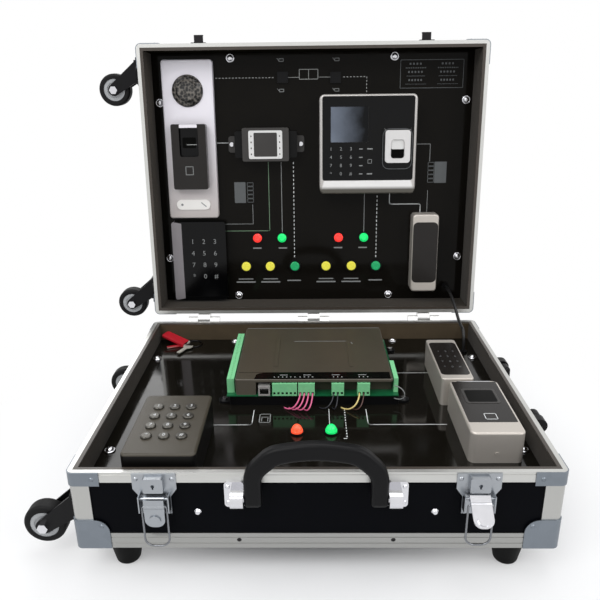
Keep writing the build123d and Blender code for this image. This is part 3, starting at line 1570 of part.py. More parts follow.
for (name, x), place in zip(buttons_x.items(), button_places):
    with BuildPart() as button:
        with Locations(place * Location((0, 0, (button_proud - button_sunk) / 2))):
            Cylinder(button_radius, button_proud + button_sunk)
        crown = button.edges().filter_by(
            lambda e: abs(lid_face.to_local_coords(e.center()).Z - button_proud) < 0.01
        )
        fillet(crown, button_round)
    save(button, name)

# ---------------------------------------------------------------- cable
cable_start = at(lid_face, lid_collar_x, lid_collar_y, cable_collar_height).position
cable_end = Vector(base_collar_x, base_collar_y, base_panel_level + cable_collar_height)
cable_points = [
    cable_start,
    cable_start + lid_out * cable_first_run,
    Vector(half_width - cable_rim_from_right, half_depth + cable_rim_behind, base_height + cable_over_rim),
    Vector(half_width - cable_dip_from_right, half_depth - cable_dip_before, base_height + cable_over_edge),
    cable_end + Vector(0, 0, cable_last_run),
    cable_end,
]


def turn_radius(before, here, after):
    """The radius of a cable corner, from the shorter run beside it and its turn."""
    first, second = here - before, after - here
    turn = radians(first.get_angle(second))
    return cable_turn_share * min(first.length, second.length) * cos(turn / 2) / sin(turn / 2)


cable_radii = [turn_radius(*cable_points[i - 1:i + 2]) for i in range(1, len(cable_points) - 1)]
print("cable corner radii", [round(r, 1) for r in cable_radii])
with BuildPart() as lid_cable:
    with BuildLine() as cable_line:
        FilletPolyline(*cable_points, radius=cable_radii)
    with BuildSketch(Plane(origin=cable_start, x_dir=(1, 0, 0), z_dir=lid_out)):
        Circle(cable_diameter / 2)
    sweep(path=cable_line.wire())
print("cable length", round(cable_line.wire().length, 1))
save(lid_cable, "lid_cable")
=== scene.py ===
"""Dresses the door-entry training kit: finishes, printed lines, digits, screens, cable, light and camera."""

import json
import logging
from dataclasses import dataclass, field
from enum import Enum
from math import cos, pi, radians, sin
from typing import Any, Callable, Sequence

import bpy
from mathutils import Matrix, Vector

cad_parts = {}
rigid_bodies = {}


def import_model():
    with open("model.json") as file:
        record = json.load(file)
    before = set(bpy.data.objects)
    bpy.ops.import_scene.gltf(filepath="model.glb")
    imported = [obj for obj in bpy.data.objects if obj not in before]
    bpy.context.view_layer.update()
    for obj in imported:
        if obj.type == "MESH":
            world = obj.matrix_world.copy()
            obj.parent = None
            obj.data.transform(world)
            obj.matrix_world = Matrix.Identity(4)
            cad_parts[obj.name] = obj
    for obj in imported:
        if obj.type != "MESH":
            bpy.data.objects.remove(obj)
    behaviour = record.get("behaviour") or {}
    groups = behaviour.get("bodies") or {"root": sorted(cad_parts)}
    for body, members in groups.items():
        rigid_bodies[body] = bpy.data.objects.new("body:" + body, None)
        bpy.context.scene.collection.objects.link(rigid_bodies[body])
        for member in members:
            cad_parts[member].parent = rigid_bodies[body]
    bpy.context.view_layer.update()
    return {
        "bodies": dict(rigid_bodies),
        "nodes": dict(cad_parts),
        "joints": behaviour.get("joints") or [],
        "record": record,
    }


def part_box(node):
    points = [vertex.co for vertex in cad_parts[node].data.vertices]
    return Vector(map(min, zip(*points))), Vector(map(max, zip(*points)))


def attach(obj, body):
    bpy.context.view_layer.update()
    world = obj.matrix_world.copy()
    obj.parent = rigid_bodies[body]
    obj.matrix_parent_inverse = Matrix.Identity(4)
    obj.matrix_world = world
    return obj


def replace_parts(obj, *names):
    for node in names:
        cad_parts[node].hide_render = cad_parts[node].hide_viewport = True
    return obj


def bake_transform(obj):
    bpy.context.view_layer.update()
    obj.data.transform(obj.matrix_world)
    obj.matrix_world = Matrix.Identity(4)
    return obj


LOG = logging.getLogger("training_kit")
FRAME: dict[str, Any] = {}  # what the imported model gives, filled by main
MM = 0.001

Point2 = tuple[float, float]
Point3 = tuple[float, float, float]
Colour = tuple[float, float, float, float]
Pick = Callable[[Vector, Vector], int]


def linear(tone: str, shade: float = 1.0) -> Colour:
    """Turn a hex tone into linear RGBA.

    Args:
        tone: A colour such as "#1a1a1a".
        shade: What its linear channels are multiplied by.

    Returns:
        Four linear channels with full alpha.
    """
    channels = [int(tone[i:i + 2], 16) / 255 for i in (1, 3, 5)]
    curve = [c / 12.92 if c <= 0.04045 else ((c + 0.055) / 1.055) ** 2.4 for c in channels]
    return (curve[0] * shade, curve[1] * shade, curve[2] * shade, 1.0)


# ------------------------------------------------------------------ where things are
@dataclass(frozen=True)
class Half:
    """One half of the case: its own directions, in which sizes are in millimetres."""

    body: str
    origin: Vector
    up: Vector
    out: Vector

    def world(self, x: float, y: float, z: float) -> Vector:
        """A place in this half, in metres in the row's frame."""
        return (self.origin + Vector((x, 0, 0)) + self.up * y + self.out * z) * MM

    def local(self, place: Vector) -> Vector:
        """A place in metres as this half's own x, y and z in millimetres."""
        away = place / MM - self.origin
        return Vector((away.x, away.dot(self.up), away.dot(self.out)))


LEAN = radians(3.9)
HALF_DEPTH = 216.0
BASE_HEIGHT = 100.0
LID_HEIGHT = 80.0
LID_UP = Vector((0, sin(LEAN), cos(LEAN)))
LID_OUT = Vector((0, -cos(LEAN), sin(LEAN)))
LID_EDGE = Vector((0, 226.98, 110.257))  # the middle of the open lid's lower rim
BASE = Half("base", Vector((0, 0, 0)), Vector((0, 1, 0)), Vector((0, 0, 1)))
LID = Half("lid", LID_EDGE + LID_UP * HALF_DEPTH - LID_OUT * LID_HEIGHT, LID_UP, LID_OUT)
WHITE = (1.0, 1.0, 1.0, 1.0)
SEEN_RAYS = ("Is Camera Ray", "Is Glossy Ray", "Is Transmission Ray")
KEY_WORDS = ("1", "2", "3", "4", "5", "6", "7", "8", "9", "*", "0", "#")


# ------------------------------------------------------------------ shader maths
class Signal:
    """A number that varies over a surface, held as a shader socket and used like a Python number."""

    def __init__(self, graph: "Nodes", socket: bpy.types.NodeSocket) -> None:
        """Keep the socket and the graph it belongs to."""
        self.graph = graph
        self.socket = socket

    def _join(self, operation: str, first: Any, second: Any = None) -> "Signal":
        """Add one Math node.

        Args:
            operation: The Math node's operation.
            first: Its first value or signal.
            second: Its second value or signal, if it takes one.

        Returns:
            The node's result.
        """
        inputs = {0: first} if second is None else {0: first, 1: second}
        return self.graph.add("ShaderNodeMath", {"operation": operation}, inputs, "Value")

    def __add__(self, other: Any) -> "Signal":
        """Add."""
        return self._join("ADD", self, other)

    def __radd__(self, other: Any) -> "Signal":
        """Add from the left."""
        return self._join("ADD", other, self)

    def __sub__(self, other: Any) -> "Signal":
        """Subtract."""
        return self._join("SUBTRACT", self, other)

    def __rsub__(self, other: Any) -> "Signal":
        """Subtract this from a number."""
        return self._join("SUBTRACT", other, self)

    def __mul__(self, other: Any) -> "Signal":
        """Multiply."""
        return self._join("MULTIPLY", self, other)

    def __rmul__(self, other: Any) -> "Signal":
        """Multiply from the left."""
        return self._join("MULTIPLY", other, self)

    def above(self, limit: float) -> "Signal":
        """One where this is greater than the limit, else nought."""
        return self._join("GREATER_THAN", self, limit)

    def below(self, limit: float) -> "Signal":
        """One where this is less than the limit, else nought."""
        return self._join("LESS_THAN", self, limit)

    def size(self) -> "Signal":
        """This without its sign."""
        return self._join("ABSOLUTE", self)

    def clamp(self) -> "Signal":
        """This, kept between nought and one."""
        return self._join("MINIMUM", self._join("MAXIMUM", self, 0.0), 1.0)


class Nodes:
    """A node tree to which one method adds every node."""

    def __init__(self, tree: bpy.types.NodeTree) -> None:
        """Take over a tree and empty it.

        Args:
            tree: The node tree of a material or world.
        """
        self.tree = tree
        self.tree.nodes.clear()

    def feed(self, socket: bpy.types.NodeSocket, value: Any) -> None:
        """Set a socket's value, or link a signal or socket to it.

        Args:
            socket: The input socket.
            value: A number, colour, signal or output socket.
        """
        if isinstance(value, Signal):
            self.tree.links.new(value.socket, socket)
        elif isinstance(value, bpy.types.NodeSocket):
            self.tree.links.new(value, socket)
        else:
            socket.default_value = value

    def add(self, kind: str, settings: dict[str, Any], inputs: dict[Any, Any], result: Any) -> Signal:
        """Add any node.

        Args:
            kind: The node's type.
            settings: Its properties, which are set before its sockets.
            inputs: Values, signals or sockets by input name or number.
            result: The name or number of the output to return.

        Returns:
            The chosen output.
        """
        node = self.tree.nodes.new(kind)
        for key, value in settings.items():
            setattr(node, key, value)
        for key, value in inputs.items():
            self.feed(node.inputs[key], value)
        return Signal(self, node.outputs[result])

    def seen(self) -> Signal:
        """One for rays that show a surface straight, mirrored or through glass, else nought."""
        camera, glossy, passing = (self.add("ShaderNodeLightPath", {}, {}, kind) for kind in SEEN_RAYS)
        return (camera + glossy + passing).clamp()


class Graph(Nodes):
    """One material's node graph with a Principled shader at its end."""

    def __init__(self, name: str) -> None:
        """Start the material with its shader and nothing else.

        Args:
            name: The material's name.
        """
        self.material = bpy.data.materials.new(name)
        self.material.use_nodes = True
        super().__init__(self.material.node_tree)
        self.output = self.tree.nodes.new("ShaderNodeOutputMaterial")
        self.shader = self.tree.nodes.new("ShaderNodeBsdfPrincipled")
        self.feed(self.output.inputs[0], self.shader.outputs[0])
        self._place: bpy.types.NodeSocket | None = None

    def set(self, name: str, value: Any) -> None:
        """Give the Principled shader's named socket a value or a signal."""
        self.feed(self.shader.inputs[name], value)

    def place(self) -> Signal:
        """The position on the piece.

        Returns:
            Its three parts in metres.
        """
        if self._place is None:
            self._place = self.add("ShaderNodeTexCoord", {}, {}, "Object").socket
        return Signal(self, self._place)

    def axes(self) -> tuple[Signal, Signal, Signal]:
        """The position's three parts, each as a signal.

        Returns:
            The x, y and z parts in millimetres.
        """
        split = self.add("ShaderNodeSeparateXYZ", {}, {0: self.place()}, 0).socket.node
        x, y, z = (Signal(self, socket) * (1.0 / MM) for socket in split.outputs)
        return x, y, z

    def along(self, half: Half) -> tuple[Signal, Signal, Signal]:
        """The position in one half's own directions, in millimetres.

        Args:
            half: The half of the case.

        Returns:
            How far across, up and out of it a place lies.
        """
        x, y, z = self.axes()
        away_y, away_z = y - half.origin.y, z - half.origin.z
        up = away_y * half.up.y + away_z * half.up.z
        out = away_y * half.out.y + away_z * half.out.z
        return x - half.origin.x, up, out

    def stretched(self, factors: Point3) -> Signal:
        """The position with each part multiplied, for grain that runs one way."""
        inputs = {0: self.place(), 1: factors}
        return self.add("ShaderNodeVectorMath", {"operation": "MULTIPLY"}, inputs, 0)

    def noise(self, size: float, detail: float = 4.0, where: Signal | None = None) -> Signal:
        """Soft noise.

        Args:
            size: The size of its blotches, in metres.
            detail: How much finer noise is added.
            where: The position to read, or the plain one.

        Returns:
            A signal around one half.
        """
        inputs = {"Vector": where or self.place(), "Scale": 1.0 / size, "Detail": detail}
        return self.add("ShaderNodeTexNoise", {}, inputs, 0)

    def cells(self, size: float, result: str = "Distance", random: float = 1.0) -> Signal:
        """Voronoi cells of a size in metres, as distance or colour, set out more or less at random."""
        inputs = {"Vector": self.place(), "Scale": 1.0 / size, "Randomness": random}
        return self.add("ShaderNodeTexVoronoi", {}, inputs, result)

    def blend(self, factor: Any, first: Any, second: Any) -> Signal:
        """Mix two colours by a factor."""
        inputs = {0: factor, 6: first, 7: second}
        return self.add("ShaderNodeMix", {"data_type": "RGBA"}, inputs, 2)

    def bump(self, height: Signal, depth: float, strength: float = 1.0) -> None:
        """Raise the surface by a height signal times a depth in metres."""
        inputs = {"Height": height, "Distance": depth, "Strength": strength}
        self.set("Normal", self.add("ShaderNodeBump", {}, inputs, 0))


# ------------------------------------------------------------------ finishes
@dataclass(frozen=True)
class Finish:
    """A moulded or painted finish with fine grain and slight unevenness."""

    name: str
    tone: str
    rough: float = 0.4
    metal: float = 0.0
    coat: float = 0.0
    grain: float = 0.0006
    depth: float = 0.00002
    uneven: float = 0.08
    blotch: float = 0.03
    shade: float = 0.75
    gloss: float = 0.5

    def base(self, graph: Graph) -> Signal:
        """The base colour: the tone, broken up by soft darker patches."""
        return graph.blend(graph.noise(self.blotch, 5.0), linear(self.tone, self.shade), linear(self.tone))

    def surface(self, graph: Graph) -> None:
        """The roughness and relief."""
        graph.set("Roughness", (graph.noise(self.blotch * 0.6) - 0.5) * self.uneven + self.rough)
        graph.bump(graph.noise(self.grain, 2.0), self.depth)

    def build(self) -> bpy.types.Material:
        """Make the material once and hand it back each time.

        Returns:
            The Blender material.
        """
        found = bpy.data.materials.get(self.name)
        if found:
            return found
        graph = Graph(self.name)
        graph.set("Base Color", self.base(graph))
        graph.set("Metallic", self.metal)
        graph.set("Specular IOR Level", self.gloss)
        if self.coat:
            graph.set("Coat Weight", self.coat)
            graph.set("Coat Roughness", 0.05)
        self.surface(graph)
        return graph.material


@dataclass(frozen=True)
class Brushed(Finish):
    """Metal with fine lines that run one way."""

    run: Point3 = (1.0, 1.0, 30.0)

    def surface(self, graph: Graph) -> None:
        """Fine streaks in the roughness and relief.

        Args:
            graph: The finish's node graph.
        """
        streaks = graph.noise(0.01, 3.0, graph.stretched(self.run))
        graph.set("Roughness", (streaks - 0.5) * (self.uneven * 2) + self.rough)
        graph.bump(streaks, self.depth)


@dataclass(frozen=True)
class Rail(Brushed):
    """Drawn angle, darker low down and on its corner posts, whose rim is edged inside with painted shade of
    the groove in the lining's brown.
    """

    half: Half = BASE
    depth_of_half: float = BASE_HEIGHT
    # painted shade: the brown of the shadowed groove along the rim's inner edge
    border: str = "#3b342d"
    groove_shade_edge: Point2 = (264.6, 210.6)
    groove_shade_deep: float = 1.2
    low_darkening: float = 0.62
    low_darkening_top: float = 21.0
    post: float = 0.78
    post_side: float = 246.0
    post_top: float = 86.0

    def base(self, graph: Graph) -> Signal:
        """The metal's own tone, darker on the foot and the corner posts, with a brown strip of painted groove
        shade inside the rim.

        Args:
            graph: The finish's node graph.

        Returns:
            The base colour.
        """
        x, y, z = graph.along(self.half)
        # painted shade: a brown, non-metal strip inside the rim stands for the shadowed groove
        rim = z.above(self.depth_of_half - self.groove_shade_deep)
        border = x.size().below(self.groove_shade_edge[0]) * y.size().below(self.groove_shade_edge[1]) * rim
        graph.set("Metallic", 1.0 - border)
        # the corner posts and the foot are darkened by position
        corner = x.size().above(self.post_side) * z.below(self.post_top)
        posts = graph.blend(corner, super().base(graph), linear(self.tone, self.post))
        metal = graph.blend(z.below(self.low_darkening_top), posts, linear(self.tone, self.low_darkening))
        return graph.blend(border, metal, linear(self.border))


@dataclass(frozen=True)
class Graded(Brushed):
    """A brushed plate whose tone changes from painted shade at its foot to its own tone at its head."""

    half: Half = BASE
    shaded_foot_tone: str = "#808080"
    low: float = 0.0
    high: float = 1.0

    def base(self, graph: Graph) -> Signal:
        """The foot's painted shade turning into the head's own tone.

        Args:
            graph: The finish's node graph.

        Returns:
            The base colour.
        """
        _, up, _ = graph.along(self.half)
        rise = ((up - self.low) * (1.0 / (self.high - self.low))).clamp()
        return graph.blend(rise, linear(self.shaded_foot_tone), super().base(graph))


@dataclass(frozen=True)
class Spangled(Finish):
    """Zinc plating with faint crystals and fingermarks."""

    crystal: float = 0.006

    def base(self, graph: Graph) -> Signal:
        """Crystals of slightly different grey.

        Args:
            graph: The finish's node graph.

        Returns:
            The base colour.
        """
        crystals = graph.cells(self.crystal, "Color")
        grey = graph.add("ShaderNodeRGBToBW", {}, {0: crystals}, 0)
        mottle = grey * 0.5 + graph.noise(self.blotch) * 0.5
        return graph.blend(mottle, linear(self.tone, self.shade), linear(self.tone))


@dataclass(frozen=True)
class Felt(Finish):
    """Needled felt lining."""

    sheen: float = 0.12
    fibre: float = 0.0009
    tuft: float = 0.0013
    lump: float = 0.012

    def surface(self, graph: Graph) -> None:
        """Short fibres and slow lumps.

        Args:
            graph: The finish's node graph.
        """
        fibres = graph.noise(self.fibre, 6.0) * 0.6 + graph.cells(self.tuft) * 0.4
        graph.set("Roughness", (fibres - 0.5) * 0.1 + self.rough)
        graph.set("Sheen Weight", self.sheen)
        graph.bump(fibres + graph.noise(self.lump) * 0.5, 0.00035)


@dataclass(frozen=True)
class Acrylic(Finish):
    """Polished sheet with faint smudges and dust."""

    smear: float = 0.05
    speck: float = 0.004
    wave: float = 0.08

    def surface(self, graph: Graph) -> None:
        """Smudges that dull the polish here and there.

        Args:
            graph: The finish's node graph.
        """
        smudge = (graph.noise(self.smear, 6.0) - 0.45).clamp() * 0.5
        dust = (0.06 - graph.cells(self.speck)).clamp() * 3.0
        graph.set("Roughness", smudge + dust + self.rough)
        graph.bump(graph.noise(self.wave, 1.0), 0.00005)


@dataclass(frozen=True)
class Lens(Finish):
    """Coloured translucent plastic lit from behind."""

    glow: float = 1.0
    facet: float = 0.0016
    deep: float = 0.55

    def surface(self, graph: Graph) -> None:
        """Moulded facets and a soft inner light.

        Args:
            graph: The finish's node graph.
        """
        facets = graph.cells(self.facet)
        graph.set("Emission Color", graph.blend(facets, linear(self.tone), linear(self.tone, self.deep)))
        graph.set("Emission Strength", self.glow)
        graph.set("Roughness", (graph.noise(0.004) - 0.5) * 0.1 + self.rough)
        graph.bump(facets, 0.0003)


@dataclass(frozen=True)
class Perforated(Finish):
    """A cover full of small holes darkened with painted shade, whose bright rims are painted highlights."""

    pitch: float = 0.0046
    stray: float = 0.75
    hole_shade: str = "#0b0a0a"

    def base(self, graph: Graph) -> Signal:
        """Painted shade in the holes and painted highlights on the rims round them."""
        # painted highlights on the rims, painted shade in the holes
        rim = (graph.cells(self.pitch, random=self.stray) - 0.42).clamp() * 3.0
        return graph.blend(rim.clamp(), linear(self.hole_shade), linear(self.tone))

    def surface(self, graph: Graph) -> None:
        """Sunk holes.

        Args:
            graph: The finish's node graph.
        """
        holes = graph.cells(self.pitch, random=self.stray)
        graph.set("Roughness", (holes - 0.5) * 0.2 + self.rough)
        graph.bump(holes, 0.0006)


@dataclass(frozen=True)
class Screen(Finish):
    """A dark display with a painted cool sheen, a painted reflection that fades across it."""

    low: float = 0.0
    high: float = 60.0
    dark: str = "#0d0e10"

    def base(self, graph: Graph) -> Signal:
        """A painted grey-blue reflection on the left that fades to black.

        Args:
            graph: The finish's node graph.

        Returns:
            The base colour.
        """
        x, _, _ = graph.axes()
        across = ((x - self.low) * (1.0 / (self.high - self.low))).clamp()
        cloud = graph.noise(0.02, 3.0) * 0.35
        return graph.blend((across + cloud).clamp(), linear(self.tone), linear(self.dark))


class Metal(Enum):
    """Metal finishes."""

    RAIL = Rail("bright_aluminium", "#cbcbc8", 0.34, 1.0, uneven=0.06, shade=0.94, run=(2.0, 2.0, 60.0),
                depth=0.000002)
    LID_RAIL = Rail("bright_lid_aluminium", "#d0d0cd", 0.34, 1.0, uneven=0.06, shade=0.94, low_darkening=0.9,
                    run=(2.0, 60.0, 2.0), depth=0.000002, half=LID, depth_of_half=LID_HEIGHT, post=0.95)
    ZINC = Spangled("zinc_plate", "#838a92", 0.4, 1.0, uneven=0.12, shade=0.86, blotch=0.04, crystal=0.012)
    LATCH = Finish("latch_plate", "#a9adb2", 0.3, 1.0, uneven=0.1, shade=0.85, blotch=0.02)
    CHROME = Finish("bright_plate", "#dcdce0", 0.16, 1.0, uneven=0.12, shade=0.9, blotch=0.012)
    HINGE = Finish("bright_hinge", "#d2d2d1", 0.3, 1.0, uneven=0.1, shade=0.9, blotch=0.015)
    STEEL = Brushed("plated_steel", "#85878b", 0.28, 1.0, uneven=0.1, shade=0.85, run=(20.0, 2.0, 2.0))
    GUNMETAL = Finish("dark_catch", "#2e2d2e", 0.35, 1.0, uneven=0.1, shade=0.8, blotch=0.01)
    # SATIN, BAND and PLATE are darkened towards their foot with painted shade
    SATIN = Graded("satin_silver", "#bfbbb7", 0.36, 0.45, coat=0.1, uneven=0.06, shade=0.93,
                   run=(2.0, 2.0, 40.0), depth=0.000004, half=LID, shaded_foot_tone="#55524b", low=-9.5, high=-4.0)
    JACK = Finish("jack_shell", "#c6c3bf", 0.36, 0.45, uneven=0.06, shade=0.93, blotch=0.01)
    READER = Finish("reader_silver", "#c8c1b8", 0.38, 0.4, uneven=0.06, shade=0.92, blotch=0.06)
    BAND = Graded("terminal_band", "#f0eeec", 0.25, 0.4, uneven=0.05, shade=0.94, run=(2.0, 2.0, 40.0),
                  depth=0.000004, half=LID, shaded_foot_tone="#55524b", low=-9.5, high=-4.0)
    # painted shade: the station plate darkens from its head down to its foot
    PLATE = Graded("station_lacquer", "#f0ecf2", 0.36, 0.1, uneven=0.06, shade=0.95, run=(2.0, 2.0, 40.0),
                   depth=0.000004, half=LID, shaded_foot_tone="#bdb5b1", low=-60.0, high=110.0)
    KEY = Finish("key_nickel", "#cdc9be", 0.32, 0.4, shade=0.85, blotch=0.006)


class Plastic(Enum):
    """Plastic, rubber, felt, board, glass and print finishes."""

    LAMINATE = Finish("black_laminate", "#07080c", 0.38, grain=0.0009, depth=0.00003, uneven=0.12,
                      blotch=0.05, gloss=0.03)
    FELT = Felt("brown_felt", "#2e2517", 0.95, shade=0.66, blotch=0.018, gloss=0.06)
    # painted light and shade: a lighter felt copy for the base's rear wall, a darker one for the lid's top
    # wall
    LIT_REAR_FELT = Felt("painted_light_felt", "#574b3a", 0.95, shade=0.66, blotch=0.018, gloss=0.06)
    SHADED_LID_FELT = Felt("painted_shade_lid_felt", "#120f07", 0.95, shade=0.66, blotch=0.018, gloss=0.02, sheen=0.0)
    ACRYLIC = Acrylic("black_acrylic", "#14120f", 0.07, shade=0.8, gloss=0.07)
    BASE_ACRYLIC = Acrylic("black_base_acrylic", "#15130f", 0.07, shade=0.8, gloss=0.32)
    RUBBER = Finish("black_foot", "#060606", 0.6, grain=0.0012, depth=0.0001, uneven=0.16, gloss=0.12)
    TREAD = Finish("tyre_tread", "#0a0a0b", 0.6, grain=0.0012, depth=0.00008, uneven=0.2, gloss=0.2)
    HUB = Finish("wheel_hub", "#aeb0b1", 0.42, grain=0.001, shade=0.8, blotch=0.01)
    POWDER = Finish("black_powder_coat", "#08080a", 0.42, 0.1, grain=0.0007, depth=0.00006, gloss=0.2)
    HANDLE = Finish("handle_plastic", "#08080a", 0.4, grain=0.0008, depth=0.00006, uneven=0.12, blotch=0.02,
                    gloss=0.16)
    COVER = Finish("controller_plastic", "#4b453a", 0.36, grain=0.0008, depth=0.00005, uneven=0.1,
                   blotch=0.06, gloss=0.4)
    # painted highlight: a lighter copy of the controller plastic for the cover's upright ends
    COVER_EDGE_HIGHLIGHT = Finish("controller_edge_highlight", "#5f594e", 0.34, grain=0.0008, depth=0.00004, uneven=0.1,
                        gloss=0.5)
    LABEL = Finish("label_band", "#070706", 0.22, grain=0.002, shade=0.85, gloss=0.2)
    KEYPAD = Finish("keypad_shell", "#423d33", 0.42, grain=0.0007, depth=0.00005, blotch=0.05, shade=0.86,
                    gloss=0.35)
    KEYPAD_SIDE = Finish("keypad_side", "#0c0b0a", 0.42, grain=0.0007, depth=0.00005, gloss=0.2)
    KEYCAP = Finish("round_key", "#56544f", 0.28, 0.75, grain=0.0009, blotch=0.008)
    GLOSS = Finish("device_gloss", "#060607", 0.09, coat=0.04, uneven=0.08, blotch=0.04, gloss=0.15)
    SMOKE = Finish("device_smoke", "#252220", 0.2, coat=0.05, uneven=0.1, blotch=0.03, gloss=0.2)
    CHARCOAL = Finish("module_charcoal", "#3f3d3b", 0.4, grain=0.0006, blotch=0.02, gloss=0.25)
    STEP = Finish("module_step", "#0a0a0a", 0.35, grain=0.0006, blotch=0.02, gloss=0.15)
    SIDE_GREY = Finish("side_strip_grey", "#8d888b", 0.38, 0.3, shade=0.86)
    LIGHT_FRAME = Finish("module_frame", "#dfdedb", 0.35, shade=0.92, blotch=0.01)
    CIRCUIT = Finish("circuit_green", "#0f6b3f", 0.3, coat=0.4, shade=0.6, blotch=0.006)
    TERMINAL = Finish("terminal_green", "#8ce0a2", 0.4, shade=0.8, blotch=0.006)
    # painted shade: the terminal green darkened for the wire and screw holes
    HOLE_SHADE = Finish("wire_hole_shade", "#123322", 0.6)
    PRINT = Finish("white_print", "#dcdedd", 0.5, shade=0.88, blotch=0.006)
    SOFT = Finish("soft_print", "#aaaba8", 0.5, shade=0.85, blotch=0.006)
    FAINT = Finish("grey_print", "#8b8d8c", 0.5, shade=0.85, blotch=0.006)
    DIM = Finish("dim_print", "#56595a", 0.5, shade=0.85, blotch=0.006)
    GREEN_PRINT = Finish("green_print", "#6f8f70", 0.5, shade=0.85, blotch=0.006)
    CABLE = Finish("cable_jacket", "#141415", 0.44, grain=0.001, depth=0.00004, gloss=0.4)
    TAG = Finish("red_tag", "#c3202f", 0.3, coat=0.2, shade=0.75, blotch=0.008)
    WIRE_PINK = Finish("wire_pink", "#ee6f9c", 0.36, shade=0.85)
    WIRE_BLACK = Finish("wire_black", "#2b2b33", 0.4)
    WIRE_YELLOW = Finish("wire_yellow", "#ecd58a", 0.36, shade=0.88)
    WIRE_BROWN = Finish("wire_brown", "#5a3a34", 0.4)
    YELLOW = Lens("yellow_cap", "#e5dd4a", 0.3, glow=0.45)
    GREEN = Lens("green_cap", "#17a463", 0.3, glow=0.35)
    RED_LENS = Lens("red_lens", "#ff3b34", 0.2, glow=1.0)
    GREEN_LENS = Lens("green_lens", "#19e272", 0.2, glow=0.8)
    ORANGE_LENS = Lens("orange_lens", "#ff5a36", 0.2, glow=0.9)
    SPEAKER = Perforated("speaker_cover", "#6b665f", 0.35)
    PILL = Finish("call_button", "#f7f4ef", 0.4, shade=0.95)
    # the display's tone is the colour of its painted reflection
    DISPLAY = Screen("display", "#757d8a", 0.12, gloss=0.12, low=34.0, high=92.0)
    SENSOR = Finish("sensor_silver", "#d9d7d5", 0.36, 0.2, depth=0.000004, shade=0.95, blotch=0.03)
    WINDOW = Finish("sensor_window", "#060605", 0.3, gloss=0.04)


AnyFinish = Metal | Plastic


def dress(node: str, *finishes: AnyFinish, pick: Pick | None = None, half: Half = BASE) -> None:
    """Give a node its finishes.

    Args:
        node: The node's name.
        finishes: Its finishes.
        pick: Chooses a finish for a face from its middle, in the half's millimetres, and its normal.
        half: The half whose directions pick is given.
    """
    obj = FRAME["nodes"][node]
    obj.data.materials.clear()
    for finish in finishes:
        obj.data.materials.append(finish.value.build())
    for polygon in obj.data.polygons:
        index = 0
        if pick:
            normal = Vector((polygon.normal.x, polygon.normal.dot(half.up), polygon.normal.dot(half.out)))
            index = pick(half.local(polygon.center), normal)
        polygon.material_index = index
    LOG.info("dressed %s", node)


